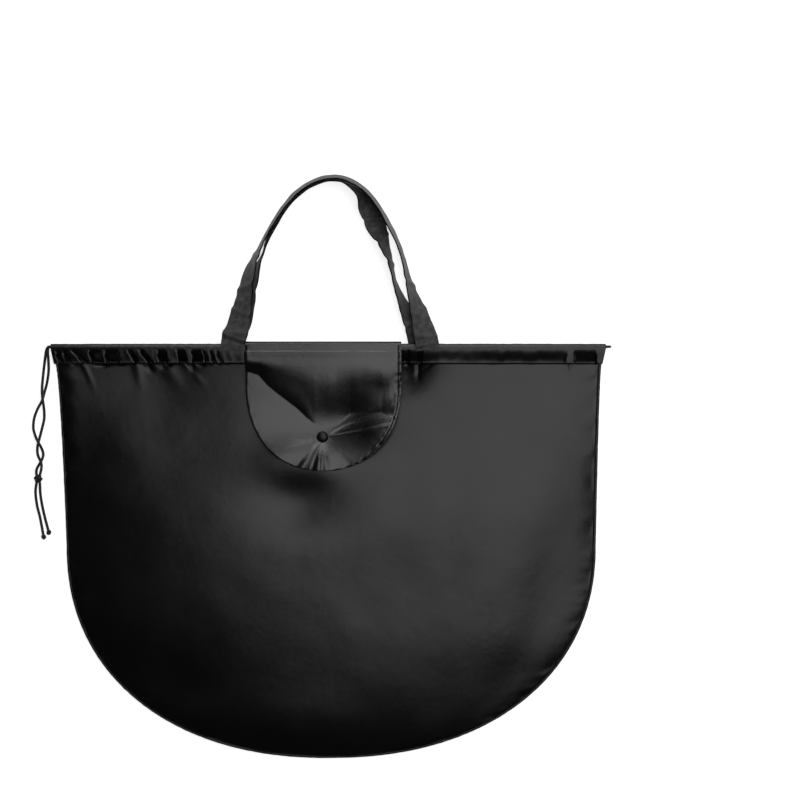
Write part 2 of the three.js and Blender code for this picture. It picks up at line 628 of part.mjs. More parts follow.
const BACK_HANDLE = [
  { across: -1.006, up: -0.04, roll: 0, lift: 1 },
  { across: -1.004, up: 0.01, roll: 1, lift: 1 },
  { across: -0.975, up: 0.06, roll: 8, lift: 0.9 },
  { across: -0.93, up: 0.12, roll: 22, lift: 0.7 },
  { across: -0.89, up: 0.18, roll: 36, lift: 0.5 },
  { across: -0.855, up: 0.24, roll: 49, lift: 0.25 },
  { across: -0.82, up: 0.31, roll: 60, lift: 0.1 },
  { across: -0.77, up: 0.41, roll: 71, lift: 0 },
  { across: -0.735, up: 0.485, roll: 78, lift: 0 },
  { across: -0.69, up: 0.55, roll: 84, lift: 0 },
  { across: -0.65, up: 0.62, roll: 87, lift: 0 },
  { across: -0.558, up: 0.715, roll: 88, lift: 0 },
  { across: -0.448, up: 0.812, roll: 86, lift: 0 },
  { across: -0.305, up: 0.9, roll: 84, lift: 0 },
  { across: -0.133, up: 0.96, roll: 83, lift: 0 },
  { across: 0.04, up: 0.98, roll: 83, lift: 0 },
  { across: 0.175, up: 0.955, roll: 76, lift: 0 },
  { across: 0.29, up: 0.9, roll: 66, lift: 0 },
  { across: 0.385, up: 0.83, roll: 53, lift: 0 },
  { across: 0.445, up: 0.76, roll: 36, lift: 0 },
  { across: 0.475, up: 0.71, roll: 32, lift: 0 },
  { across: 0.515, up: 0.65, roll: 48, lift: 0 },
  { across: 0.565, up: 0.585, roll: 64, lift: 0 },
  { across: 0.61, up: 0.515, roll: 75, lift: 0 },
  { across: 0.645, up: 0.44, roll: 81, lift: 0 },
  { across: 0.675, up: 0.365, roll: 80, lift: 0 },
  { across: 0.72, up: 0.295, roll: 73, lift: 0.05 },
  { across: 0.765, up: 0.235, roll: 64, lift: 0.15 },
  { across: 0.81, up: 0.18, roll: 51, lift: 0.35 },
  { across: 0.86, up: 0.125, roll: 34, lift: 0.6 },
  { across: 0.91, up: 0.06, roll: 16, lift: 0.85 },
  { across: 0.935, up: -0.005, roll: 3, lift: 1 },
  { across: 0.94, up: -0.04, roll: 0, lift: 1 },
];
const STRAP_STEPS = 58;
const STRAP_CLEARANCE = 0.35; // keeps a twisted strap's lower edge off the surface

function strapSolid(table, seat) {
  const places = table.map((row) => {
    const turn = radians(row.roll);
    const resting =
      STRAP_CLEARANCE +
      (STRAP_WIDTH / 2) * Math.sin(turn) +
      (STRAP_THICKNESS / 2) * Math.cos(turn);
    return {
      point: new THREE.Vector3(
        HANDLE_CENTRE + (row.across * HANDLE_SPAN) / 2,
        TOP + row.up * HANDLE_RISE,
        resting + row.lift * (seat - STRAP_THICKNESS / 2 - STRAP_CLEARANCE),
      ),
      turn,
    };
  });
  const line = new THREE.CatmullRomCurve3(places.map((p) => p.point), false, "centripetal");
  const last = places.length - 1;
  const sections = [];
  for (let k = 0; k <= STRAP_STEPS; k++) {
    const t = k / STRAP_STEPS;
    const point = line.getPoint(t);
    const tangent = line.getTangent(t);
    const i = Math.min(Math.floor(t * last), last - 1);
    const turn = mix(places[i].turn, places[i + 1].turn, smooth(t * last - i));
    const inward = new THREE.Vector3(tangent.y, -tangent.x, 0).normalize();
    const across = inward.multiplyScalar(Math.cos(turn));
    across.z = Math.sin(turn);
    const normal = tangent.clone().cross(across).normalize();
    across.copy(normal.clone().cross(tangent));
    const corner = (a, n) =>
      point
        .clone()
        .addScaledVector(across, (a * STRAP_WIDTH) / 2)
        .addScaledVector(normal, (n * STRAP_THICKNESS) / 2)
        .toArray();
    sections.push([corner(-1, -1), corner(1, -1), corner(1, 1), corner(-1, 1)]);
  }
  return loftSolid(sections);
}

function frontHandle() {
  const x = HANDLE_CENTRE - HANDLE_SPAN / 2;
  return strapSolid(FRONT_HANDLE, frontTubeHeight(x) + TUBE + GAP + STRAP_THICKNESS / 2);
}

function backHandle() {
  return strapSolid(BACK_HANDLE, BACK_TUBE_Z + TUBE + GAP + STRAP_THICKNESS / 2);
}

// A round cord along a line of points.
const CORD_SIDES = 8;
function cordSolid(points, steps) {
  const line = new THREE.CatmullRomCurve3(points.map((p) => new THREE.Vector3(...p)), false, "centripetal");
  const section = new THREE.Shape();
  for (let k = 0; k < CORD_SIDES; k++) {
    const turn = (2 * Math.PI * k) / CORD_SIDES;
    const [x, y] = [(CORD_DIAMETER / 2) * Math.cos(turn), (CORD_DIAMETER / 2) * Math.sin(turn)];
    if (k) section.lineTo(x, y);
    else section.moveTo(x, y);
  }
  section.closePath();
  return new THREE.ExtrudeGeometry(section, { steps, extrudePath: line, curveSegments: 1 });
}

// The stretch of the cord inside the two casings, round the right corner where it shows.
function heldCord() {
  const end = BAG_WIDTH / 2 + GAP;
  const straight = end + CORD_DIAMETER / 2;
  const front = [-end, ...HEIGHT_STATIONS.map((share) => (share * BAG_WIDTH) / 2).reverse(), straight]
    .map((x) => [x, TUBE_Y, frontTubeHeight(x)]);
  const corner = frontTubeHeight(end);
  const middle = (corner + BACK_TUBE_Z) / 2;
  const reach = (corner - BACK_TUBE_Z) / 2;
  const loop = [
    [straight + reach * 0.75, TUBE_Y, middle + reach * 0.72],
    [straight + reach * 1.05, TUBE_Y, middle],
    [straight + reach * 0.75, TUBE_Y, middle - reach * 0.72],
    [straight, TUBE_Y, BACK_TUBE_Z],
  ];
  const back = [];
  for (let k = 0; k <= 3; k++) back.push([mix(end, -end, k / 3), TUBE_Y, BACK_TUBE_Z]);
  const sections = [...front, ...loop, ...back].map((p) => new THREE.Vector3(...p));
  const rings = sections.map((point, i) => {
    const ahead = sections[Math.min(i + 1, sections.length - 1)];
    const behind = sections[Math.max(i - 1, 0)];
    const along = ahead.clone().sub(behind).normalize();
    const side = new THREE.Vector3(0, 1, 0);
    const up = along.clone().cross(side);
    return Array.from({ length: CORD_SIDES }, (_, k) => {
      const turn = (2 * Math.PI * (k + 0.5)) / CORD_SIDES;
      const radius = CORD_DIAMETER / 2;
      return point
        .clone()
        .addScaledVector(side, radius * Math.cos(turn))
        .addScaledVector(up, radius * Math.sin(turn))
        .toArray();
    });
  });
  return loftSolid(rings);
}

// The two free ends of the cord, as they lie on the surface: they leave the left corner, cross three
// times, are tied together and end in a knot each.
const LYING = CORD_DIAMETER / 2 + 0.05;
const OVER = 3 * LYING + 0.9;
const ENTRY_A = [-BAG_WIDTH / 2 - 2 * GAP, TUBE_Y, frontTubeHeight(BAG_WIDTH / 2)];
const ENTRY_B = [-BAG_WIDTH / 2 - 2 * GAP, TUBE_Y, BACK_TUBE_Z];
const STRAND_A = [
  ENTRY_A,
  [-302.8, 221, 9],
  [-305, 217.6, 7.6],
  [-306.6, 210, 4.6],
  [-308.3, 200, LYING],
  [-309.6, 188, LYING],
  [-310.2, 179, 2.8],
  [-310, 171.5, 4.9],
  [-309.2, 164, OVER],
  [-308.2, 156, 4.2],
  [-308, 149, 2],
  [-308.4, 142, LYING],
  [-311, 131, LYING],
  [-313.6, 121, LYING],
  [-315.6, 112, LYING],
  [-315, 104, LYING],
  [-311.6, 96, LYING],
  [-311.2, 90, LYING],
  [-312.5, 83.75, 2.2],
];
const STRAND_B = [
  ENTRY_B,
  [-302.6, 221, 2.9],
  [-304.2, 217.8, 2.4],
  [-303.6, 206, LYING],
  [-303.4, 195, LYING],
  [-305, 183, LYING],
  [-307.6, 173, LYING],
  [-310.6, 163, LYING],
  [-315.4, 154, LYING],
  [-319, 144, LYING],
  [-320, 134, LYING],
  [-318.4, 127.4, 2.6],
  [-316.4, 122.6, 4.9],
  [-314, 118, OVER],
  [-311.2, 112.6, 4.2],
  [-309.4, 107.6, 2.4],
  [-309, 103.6, 3.2],
  [-309.8, 100, 5.2],
  [-311.6, 96.4, OVER],
  [-314.4, 92, 4.6],
  [-316.2, 88.2, 3.8],
  [-316.4, 83.8, 3.5],
];
const TIE_PLACE = [-314.4, 78.6];
const TAIL_A = [
  [-312.8, 73.4, 2.2],
  [-312.4, 63, LYING],
  [-310.8, 52, LYING],
  [-307.8, 38, LYING],
  [-303.8, 23.4, 2.4],
];
const TAIL_B = [
  [-316.4, 73.35, 2.6],
  [-317.6, 64, LYING],
  [-316, 50, LYING],
  [-312.6, 36, LYING],
  [-309.2, 18.6, 2.4],
];

// The middle of a knot that follows the end of a cord.
function beyond(points, size) {
  const [before, end] = points.slice(-2);
  const length = Math.hypot(end[0] - before[0], end[1] - before[1]);
  const reach = (size.along / 2 + GAP + 0.05) / length;
  return [end[0] + (end[0] - before[0]) * reach, end[1] + (end[1] - before[1]) * reach];
}

// A pulled-tight knot as one plain lump.
function knot(place, size) {
  const geometry = new THREE.SphereGeometry(0.5, 10, 8);
  geometry.scale(size.across, size.along, size.high);
  geometry.translate(place[0], place[1], size.high / 2 + 0.05);
  return geometry;
}

const wasm = await Module();
wasm.setup();

const helmetBag = new THREE.Group();
const add = (name, geometry, material) => {
  const mesh = new THREE.Mesh(geometry, material);
  mesh.name = name;
  helmetBag.add(mesh);
};

add("back_panel", backPanel(), nylon);
add("front_panel", frontPanel(), nylon);
add("edge_seam", edgeSeam(), nylon);
add("back_casing", backCasing(), nylon);
add("front_casing", frontCasing(), nylon);
add("flap", await flap(wasm), nylon);
add("flap_button", button(), plastic);
add("front_handle", frontHandle(), nylon);
add("back_handle", backHandle(), nylon);
add("drawcord_held", heldCord(), cordWeave);
add("drawcord_end_a", cordSolid(STRAND_A, 24), cordWeave);
add("drawcord_end_b", cordSolid(STRAND_B, 24), cordWeave);
add("drawcord_tail_a", cordSolid(TAIL_A, 8), cordWeave);
add("drawcord_tail_b", cordSolid(TAIL_B, 8), cordWeave);
add("tie_knot", knot(TIE_PLACE, TIE_KNOT), cordWeave);
add("end_knot_a", knot(beyond(TAIL_A, END_KNOT), END_KNOT), cordWeave);
add("end_knot_b", knot(beyond(TAIL_B, END_KNOT), END_KNOT), cordWeave);

export default helmetBag;
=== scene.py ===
"""A flat nylon bag for a motorcycle helmet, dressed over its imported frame.

Every length is in metres, in the frame's own axes: X across the bag, Y from its round bottom to its
handles, Z up from the floor that it lies on.
"""

from math import atan2, copysign, cos, degrees, exp, hypot, pi, radians, sin

import bmesh
import bpy
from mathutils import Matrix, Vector, noise


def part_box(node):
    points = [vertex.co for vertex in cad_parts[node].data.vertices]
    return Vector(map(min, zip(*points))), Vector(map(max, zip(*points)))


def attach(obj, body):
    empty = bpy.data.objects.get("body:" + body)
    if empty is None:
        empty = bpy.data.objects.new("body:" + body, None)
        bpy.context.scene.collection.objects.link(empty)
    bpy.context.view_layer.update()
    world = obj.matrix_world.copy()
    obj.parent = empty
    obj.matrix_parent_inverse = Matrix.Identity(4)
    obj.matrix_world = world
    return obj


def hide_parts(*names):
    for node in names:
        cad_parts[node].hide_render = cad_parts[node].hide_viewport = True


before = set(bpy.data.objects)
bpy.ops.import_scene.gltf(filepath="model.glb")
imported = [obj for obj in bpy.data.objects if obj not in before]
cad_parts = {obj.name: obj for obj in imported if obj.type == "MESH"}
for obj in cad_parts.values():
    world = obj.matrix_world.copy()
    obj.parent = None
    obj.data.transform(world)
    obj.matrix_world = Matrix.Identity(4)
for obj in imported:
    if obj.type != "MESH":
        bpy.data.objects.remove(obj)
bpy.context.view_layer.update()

bl_info = {
    "name": "Helmet Bag",
    "version": (1, 0, 0),
    "blender": (4, 5, 0),
    "location": "View3D > Sidebar > Helmet Bag",
    "description": "Makes the cloth, straps, cord and stage of a flat drawstring bag for a helmet",
    "category": "Object",
}

# Sizes that the frame gives
SEAM_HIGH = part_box("edge_seam")[1]
CASING_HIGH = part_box("front_casing")[1]
FLAP_LOW, FLAP_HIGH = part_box("flap")
BUTTON_LOW, BUTTON_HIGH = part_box("flap_button")

# The pouch's outline and the front panel's form, as the frame has them
MOUTH_HALF = CASING_HIGH[0]
PANEL_HALF = SEAM_HIGH[0]
WAIST = {-1: 0.284, 1: 0.29}
TOP = 0.2245
BOTTOM = -TOP
STITCH = TOP - 0.0206
SHOULDER = TOP - 0.218
ROUND_POWER = 2.2
FULL_TURN = 89.2  # degrees: the last row of the panels keeps a little width
SIDE_SHARE = 1 / 3
SIDE_CROWDING = 1.6
SIDE_POWER_IN = 0.6  # less than 1 draws the side in soon below the stitches
SEAM_WIDTH = 0.0032
SEAM_MIDDLE = SEAM_HIGH[2] - 0.0005
PUFF = 0.022
MOUTH_SHARE = 0.45
FULL_DOWN = 0.6
SIDE_POWER = 4
END_POWER = 5
EDGE_FADE = 0.12

# The panels' cloth: slow and fine waviness, as its height and length, and the puckers at the seam
PANEL_INSET = SEAM_WIDTH * 0.7  # the panels end inside the seam
BROAD_WAVE, BROAD_LENGTH = 0.0005, 0.13
FINE_WAVE, FINE_LENGTH = 0.0004, 0.04
WAVE_FADE_SIDE, WAVE_FADE_END = 0.06, 0.05
PUCKER_DEPTH, PUCKER_LENGTH, PUCKER_REACH = 0.0013, 0.01, 0.014
PUCKER_STRETCH = 0.3  # less than 1 draws a pucker out across the seam
PUCKER_START = 0.004
BACK_HEIGHT, BACK_WAVE = 0.0006, 0.0003
SEAM_UNEVEN, SEAM_UNEVEN_LENGTH, SEAM_TURNS = 0.18, 0.011, 2.2
SEAM_FULL = 0.96
SEAM_HIGHEST = 1.02

# Thread
STITCH_LENGTH = 0.0026
STITCH_SHARE = 0.36  # half of a stitch, as a share of the distance between two
STITCH_RADIUS = 0.0004
STITCH_STEP = 0.001  # share of the sheet over which its direction is measured
# Grey thread, lighter than the black cloth: a painted highlight of the light on the casing's hem edge along
# its stitches.
THREAD_HIGHLIGHT_COLOUR = (0.09, 0.09, 0.092)

# Casings, round the cord
TUBE_POWER = 3.2  # 2 is round, more is squarer
AT_STITCHES = 0.5  # depth of the gathers there, as a share of their depth half way up
CORD_RADIUS = 0.0015
TUBE = 0.003
TUBE_Y = TOP - TUBE
BACK_TUBE_Z = TUBE
MOUTH_GAP = 0.01
CORNER_POWER = 4
TOUCH = 0.0003
GATHER_DEPTH = 0.0034
TUBE_SLANT = 0.42  # fall of the casing's top towards its outer edge
TUBE_DROP = 0.007
FOLD_EDGE = 0.0016
FOLD_RAGGED = 0.0016
HEM_THREAD_UP = 0.045  # place of the thread on the casing, from its stitched edge
TURNED_UNDER = 0.045  # share of the casing in which full cloth drops to its stitches
HALF_LAYER = 0.0004
TAIL_PAST = 0.0012  # how far the tail runs past its stitches
WRAP_FROM, WRAP_TO = 0.36, 0.64  # share of the layer that goes round the cord
WRAP_TURN = 130  # degrees to each side of the top
RIDGE = 0.00035  # unevenness of the cloth over the cord
INNER_DIP = 0.6  # dips of the inner layer, as a share of the outer one's
BACK_TAIL = 0.0014
CASING_WAVE, CASING_LENGTH = 0.0006, 0.007
BACK_CASING_WAVE, BACK_CASING_LENGTH = 0.0007, 0.012
CASING_FADE = 0.05

# Flap
FLAP_CENTRE = (FLAP_LOW[0] + FLAP_HIGH[0]) / 2
FLAP_HALF = (FLAP_HIGH[0] - FLAP_LOW[0]) / 2
FLAP_FOLD = FLAP_HIGH[1]
FLAP_END = FLAP_LOW[1] - TOUCH
FLAP_STRAIGHT = 0.046
BUTTON_X = (BUTTON_LOW[0] + BUTTON_HIGH[0]) / 2
BUTTON_Y = (BUTTON_LOW[1] + BUTTON_HIGH[1]) / 2
BUTTON_RADIUS = (BUTTON_HIGH[0] - BUTTON_LOW[0]) / 2

# Handles
HANDLE_CENTRE = 0.002
HANDLE_HALF = 0.104
HANDLE_RISE = 0.1805
STRAP_LIFT = 0.00035  # gap between a standing strap and the floor
STRAP_STEP = 0.004  # share of the strap over which its direction is measured
STRAP_WAVE = 0.0006
STRAP_BEVEL = 0.0004
CREASE_REACH = 0.007  # share of the strap

# The photograph's frame: one of its 800 pixels is this long on the floor
PIXEL = 0.001085
PHOTO_SIDE = 800 * PIXEL
PHOTO_CENTRE = Vector((0.0776, 0.1638, 0.0))


def mix(a, b, share):
    return a + (b - a) * share


def clamp(value, low=0.0, high=1.0):
    return min(high, max(low, value))


def smooth(share):
    share = clamp(share)
    return share * share * (3 - 2 * share)


def bell(distance):
    return exp(-distance * distance)


def wander(x, y, length, seed):
    """Smooth noise between about -1 and 1 that changes over the given length."""
    return noise.noise(Vector((x / length, y / length, seed)))


# Broad swells and dents of the front panel: place and reach as shares of the half width and of the
# height, rise as a share of the puff.
SWELLS = [
    # across, down, reach across, reach down, rise
    (0.43, -0.02, 0.1, 0.05, 0.14),
    (0.26, 0.03, 0.09, 0.05, -0.41),
    (-0.79, 0.04, 0.3, 0.12, -0.25),
    (-0.99, 0.06, 0.05, 0.25, 0.43),
    (0.05, 0.135, 0.14, 0.07, -0.3),
    (-0.6, 0.06, 0.2, 0.24, -0.13),
    (-0.1, 0.25, 0.19, 0.055, 0.24),
    (0.91, 0.33, 0.45, 0.16, 0.31),
    (-0.12, 0.36, 0.16, 0.07, -0.3),
    (-0.05, 0.39, 0.43, 0.17, 0.15),
    (-1.05, 0.51, 0.37, 0.15, -0.3),
    (0.22, 0.54, 0.27, 0.12, -0.15),
    (0.88, 0.65, 0.13, 0.22, -0.38),
    (0.96, 0.7, 0.31, 0.09, 0.22),
    (0.69, 0.81, 0.27, 0.25, -0.22),
    (-0.84, 0.82, 0.38, 0.1, -0.42),
    (-0.25, 0.97, 0.45, 0.12, 0.42),
]

# The ends of the casing's gathers on the front panel: place and width as shares of the bag's half
# width, depth as a share of GATHER_DEPTH, length below the stitches as a share of the casing, and
# the lean to the right.
GATHERS = [
    # at, width, depth, runs, lean
    (-0.967, 0.009, 0.7, 0.2, 0.0),
    (-0.942, 0.01, 0.9, 0.3, 0.1),
    (-0.918, 0.009, -0.5, 1.8, 0.35),
    (-0.891, 0.012, 1.2, 0.3, 1.0),
    (-0.83, 0.022, 1.3, 0.3, 0.2),
    (-0.772, 0.024, 1.1, 0.2, 0.0),
    (-0.712, 0.016, -0.5, 1.9, 0.1),
    (-0.689, 0.011, 1.3, 0.7, 0.5),
    (-0.64, 0.011, 1.3, 0.5, 0.6),
    (-0.628, 0.03, -0.6, 2.0, 0.6),
    (-0.591, 0.014, 1.2, 0.3, 0.0),
    (-0.556, 0.012, -0.6, 1.6, 0.8),
    (-0.521, 0.013, 1.1, 0.9, 0.3),
    (-0.467, 0.017, 1.2, 0.3, 0.0),
    (-0.443, 0.006, 0.5, 0.2, 0.2),
    (-0.414, 0.008, 0.6, 0.2, 0.3),
    (-0.389, 0.007, 0.5, 0.2, 0.3),
    (0.291, 0.007, 1.3, 0.2, 0.0),
    (0.331, 0.006, 1.5, 1.2, 0.0),
    (0.42, 0.014, 0.9, 0.9, -1.2),
    (0.6, 0.03, 0.3, 0.2, 0.1),
    (0.74, 0.03, 0.3, 0.2, 0.1),
    (0.88, 0.008, 0.8, 0.9, 0.3),
    (0.94, 0.018, 0.9, 0.3, 0.0),
]


def outline(side, down):
    """A point of the pouch's side: straight to the shoulder, then the round bottom."""
    if down <= SIDE_SHARE:
        share = (down / SIDE_SHARE) ** SIDE_CROWDING
        return side * mix(PANEL_HALF, WAIST[side], share**SIDE_POWER_IN), mix(STITCH, SHOULDER, share)
    turn = radians(FULL_TURN) * (down - SIDE_SHARE) / (1 - SIDE_SHARE)
    power = 2 / ROUND_POWER
    wide = max(cos(turn), 0.0) ** power
    return side * WAIST[side] * wide, mix(SHOULDER, BOTTOM, sin(turn) ** power)


def inset_outline(side, down, inset):
    """The same point, moved inwards square to the outline."""
    step = 0.002
    x0, y0 = outline(side, max(down - step, 0.0))
    x1, y1 = outline(side, min(down + step, 1.0))
    x, y = outline(side, down)
    run = hypot(x1 - x0, y1 - y0)
    if run == 0:
        return x, y
    return x + side * inset * (y1 - y0) / run, y - side * inset * (x1 - x0) / run


def panel_rise(across, down):
    body = (1 - abs(across) ** SIDE_POWER) * (1 - down**END_POWER)
    crown = mix(MOUTH_SHARE, 1, smooth(down / FULL_DOWN))
    for at, low, reach_across, reach_down, rise in SWELLS:
        crown += rise * bell((across - at) / reach_across) * bell((down - low) / reach_down)
    return PUFF * body * crown


def gather_dip(across, below):
    """Depth of the gathers, below being the distance down from the stitches."""
    casing = TOP - STITCH
    total = 0.0
    for at, width, depth, runs, lean in GATHERS:
        place = at + lean * (below + casing / 2) / MOUTH_HALF
        fade = 1 - smooth(below / (runs * casing))
        total += depth * bell((across - place) / width) * fade
    return GATHER_DEPTH * total * smooth((1 - abs(across)) / EDGE_FADE)


def panel_height(across, down, y):
    dip = AT_STITCHES * gather_dip(across, max(STITCH - y, 0.0))
    return SEAM_MIDDLE + panel_rise(across, down) - dip


def panel_half(x, y):
    waist = WAIST[-1] if x < 0 else WAIST[1]
    share = clamp((STITCH - y) / (STITCH - SHOULDER))
    return mix(PANEL_HALF, waist, share**SIDE_POWER_IN) - SEAM_WIDTH


def panel_height_at(x, y):
    """Height of the front panel above the round bottom."""
    across = clamp(x / panel_half(x, y), -1, 1)
    return panel_height(across, clamp((STITCH - y) / (STITCH - BOTTOM)), y)


def front_tube_height(x):
    share = clamp(abs(x) / MOUTH_HALF)
    return BACK_TUBE_Z + 2 * TUBE + TOUCH + MOUTH_GAP * (1 - share**CORNER_POWER)


# Making and finishing a piece


def new_object(name, bm, material, shade=True):
    if not bm.faces:
        raise RuntimeError(f"{name} came out without faces")
    mesh = bpy.data.meshes.new(name)
    if shade:
        for face in bm.faces:
            face.smooth = True
    bm.to_mesh(mesh)
    bm.free()
    mesh.materials.append(material)
    piece = bpy.data.objects.new(name, mesh)
    bpy.context.scene.collection.objects.link(piece)
    return piece


def sheet(columns, rows, place):
    """A grid whose points go where place(across, up) says, both running from 0 to 1."""
    bm = bmesh.new()
    bm.loops.layers.uv.new("UVMap")
    bmesh.ops.create_grid(bm, x_segments=columns, y_segments=rows, size=0.5, calc_uvs=True)
    for vertex in bm.verts:
        vertex.co = place(vertex.co.x + 0.5, vertex.co.y + 0.5)
    return bm


def tube(columns, sides, place):
    """A grid rolled into a tube: place(along, around) gives its points. Its ends are filled."""
    bm = sheet(columns, sides, place)
    bmesh.ops.remove_doubles(bm, verts=bm.verts, dist=1e-6)
    bmesh.ops.holes_fill(bm, edges=bm.edges, sides=0)
    bmesh.ops.recalc_face_normals(bm, faces=bm.faces)
    return bm


def ellipsoid(bm, columns, rows, middle, *radii):
    made = bmesh.ops.create_uvsphere(bm, u_segments=columns, v_segments=rows, radius=1.0)
    for vertex in made["verts"]:
        x, y, z = vertex.co
        vertex.co = middle + radii[0] * x + radii[1] * y + radii[2] * z


def thicken(piece, thickness):
    layer = piece.modifiers.new("cloth thickness", "SOLIDIFY")
    layer.thickness = thickness
    layer.offset = 0.0
    layer.use_even_offset = False
    return piece


def dress(piece, slot, *nodes):
    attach(piece, "root")
    if nodes:
        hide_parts(*nodes)
    return piece


# Materials

SMOOTHER, ROUGHER = 0.05, 0.07  # unevenness of a nylon's roughness


def shader(name, colour, roughness, sheen=0.0, specular=0.5):
    material = bpy.data.materials.new(name)
    material.use_nodes = True
    nodes = material.node_tree.nodes
    surface = nodes["Principled BSDF"]
    surface.inputs["Base Color"].default_value = (*colour, 1)
    surface.inputs["Roughness"].default_value = roughness
    surface.inputs["Sheen Weight"].default_value = sheen
    surface.inputs["Specular IOR Level"].default_value = specular
    return material, surface


def add_node(material, kind, **values):
    node = material.node_tree.nodes.new("ShaderNode" + kind)
    for key, value in values.items():
        if key in node.inputs:
            node.inputs[key].default_value = value
        else:
            setattr(node, key, value)
    return node


def link(output, target):
    output.node.id_data.links.new(output, target)


def nylon(name, colour, roughness=0.3, weave=0.1, specular=0.5, glinting=None):
    """Thin satin nylon: a fine plain weave, soft crinkles and a slightly uneven sheen. A glinting colour
    adds random lighter patches as painted glints.
    """
    material, surface = shader(name, colour, roughness, specular=specular)
    where = add_node(material, "TexCoord")
    warp = add_node(material, "TexWave", bands_direction="X", Scale=420.0)
    weft = add_node(material, "TexWave", bands_direction="Y", Scale=420.0)
    threads = add_node(material, "Math", operation="ADD")
    crinkle = add_node(material, "TexNoise", Scale=95.0, Detail=4.0, Roughness=0.55)
    soft = add_node(material, "TexNoise", Scale=22.0, Detail=3.0, Roughness=0.5)
    for texture in (warp, weft, crinkle, soft):
        link(where.outputs["Object"], texture.inputs["Vector"])
    link(warp.outputs["Fac"], threads.inputs[0])
    link(weft.outputs["Fac"], threads.inputs[1])
    normal = None
    for height, strength, distance in (
        (threads.outputs[0], weave, 0.00015),
        (crinkle.outputs["Fac"], 0.25, 0.0006),
        (soft.outputs["Fac"], 0.16, 0.0025),
    ):
        bump = add_node(material, "Bump", Strength=strength, Distance=distance)
        link(height, bump.inputs["Height"])
        if normal:
            link(normal, bump.inputs["Normal"])
        normal = bump.outputs["Normal"]
    link(normal, surface.inputs["Normal"])
    uneven = add_node(material, "MapRange")
    uneven.inputs["To Min"].default_value = roughness - SMOOTHER
    uneven.inputs["To Max"].default_value = roughness + ROUGHER
    link(soft.outputs["Fac"], uneven.inputs["Value"])
    link(uneven.outputs["Result"], surface.inputs["Roughness"])
    # Random patches of the lighter colour: painted glints of the weave.
    if glinting:
        glint_patches = add_node(material, "TexNoise", Scale=170.0, Detail=3.0, Roughness=0.6)
        link(where.outputs["Object"], glint_patches.inputs["Vector"])
        shades = add_node(material, "ValToRGB")
        for stop, place, shade in zip(shades.color_ramp.elements, (0.36, 0.66), (colour, glinting)):
            stop.position = place
            stop.color = (*shade, 1)
        link(glint_patches.outputs["Fac"], shades.inputs["Fac"])
        link(shades.outputs["Color"], surface.inputs["Base Color"])
    return material


def grain_bump(material, surface, scale, detail, strength, distance):
    where = add_node(material, "TexCoord")
    grain = add_node(material, "TexNoise", Scale=scale, Detail=detail)
    link(where.outputs["Object"], grain.inputs["Vector"])
    bump = add_node(material, "Bump", Strength=strength, Distance=distance)
    link(grain.outputs["Fac"], bump.inputs["Height"])
    link(bump.outputs["Normal"], surface.inputs["Normal"])


def cord_weave(name, colour):
    """Matt braid: the relief is in the mesh, the fibres are in the bump."""
    material, surface = shader(name, colour, 0.6, sheen=0.08)
    grain_bump(material, surface, 2600.0, 3.0, 0.4, 0.0002)
    return material


def moulded(name, colour):
    material, surface = shader(name, colour, 0.34, specular=0.3)
    grain_bump(material, surface, 900.0, 2.0, 0.1, 0.0001)
    return material


# Settings

SMALLEST = 0.0001


def length_setting(name, description, default):
    return bpy.props.FloatProperty(
        name=name, description=description, default=default, min=SMALLEST, unit="LENGTH"
    )


def colour_setting(name, description, default):
    return bpy.props.FloatVectorProperty(
        name=name, description=description, default=default, subtype="COLOR"
    )


class HelmetBagCloth(bpy.types.PropertyGroup):
    thickness: length_setting("Cloth thickness", "Thickness of one layer as it is drawn", 0.0008)
    colour: colour_setting(
        "Cloth colour", "Colour of the pouch, the casing and the flap", (0.002, 0.002, 0.0021)
    )
    # The handles' colour: their own black nylon, set lighter than the cloth as painted sheen of the floor
    # light they reflect.
    strap_colour_and_sheen: colour_setting(
        "Strap colour", "Colour of the handles, which are pressed and a little lighter", (0.05, 0.05, 0.052)
    )
    # Colour of random lighter patches on the handles: painted glints of their weave.
    strap_glint_colour: colour_setting(
        "Strap glint colour", "Colour of the handles where their weave is worn", (0.09, 0.09, 0.093)
    )
    strap_width: length_setting("Strap width", "Width of a handle", 0.025)
    strap_thickness: length_setting("Strap thickness", "Thickness of a handle", 0.0014)


class HelmetBagTrim(bpy.types.PropertyGroup):
    cord_diameter: length_setting("Cord diameter", "Thickness of the drawcord", 0.003)
    cord_colour: colour_setting("Cord colour", "Colour of the cord", (0.007, 0.007, 0.008))
    button_colour: colour_setting("Button colour", "Colour of the moulded button", (0.006, 0.006, 0.006))


class HelmetBagStage(bpy.types.PropertyGroup):
    camera_height: length_setting("Camera height", "Height of the camera over the floor", 2.6)
    key_power: bpy.props.FloatProperty(
        name="Key light", description="Power of the softbox at the upper right", default=13.9
    )
    floor_glow: bpy.props.FloatProperty(
        name="Floor glow", description="How far the floor glows by itself", default=0.75, min=0.0, max=1.0
    )


def cloth_settings():
    return bpy.context.scene.helmet_bag_cloth


def trim_settings():
    return bpy.context.scene.helmet_bag_trim


def stage_settings():
    return bpy.context.scene.helmet_bag_stage


def once(name, make, *values):
    """The material of this name, made at its first use."""
    return bpy.data.materials.get(name) or make(name, *values)


def bag_cloth():
    return once("black nylon", nylon, tuple(cloth_settings().colour))


def flap_cloth():
    return once("black nylon, smooth", nylon, tuple(cloth_settings().colour), 0.27, 0.1, 0.78)


# Handle faces: colours lighter than the cloth's, as painted sheen of reflected floor light.
def strap_cloth():
    settings = cloth_settings()
    dark, light = tuple(settings.strap_colour_and_sheen), tuple(settings.strap_glint_colour)
    return once("pressed nylon strap", nylon, dark, 0.5, 0.5, 0.08, light)


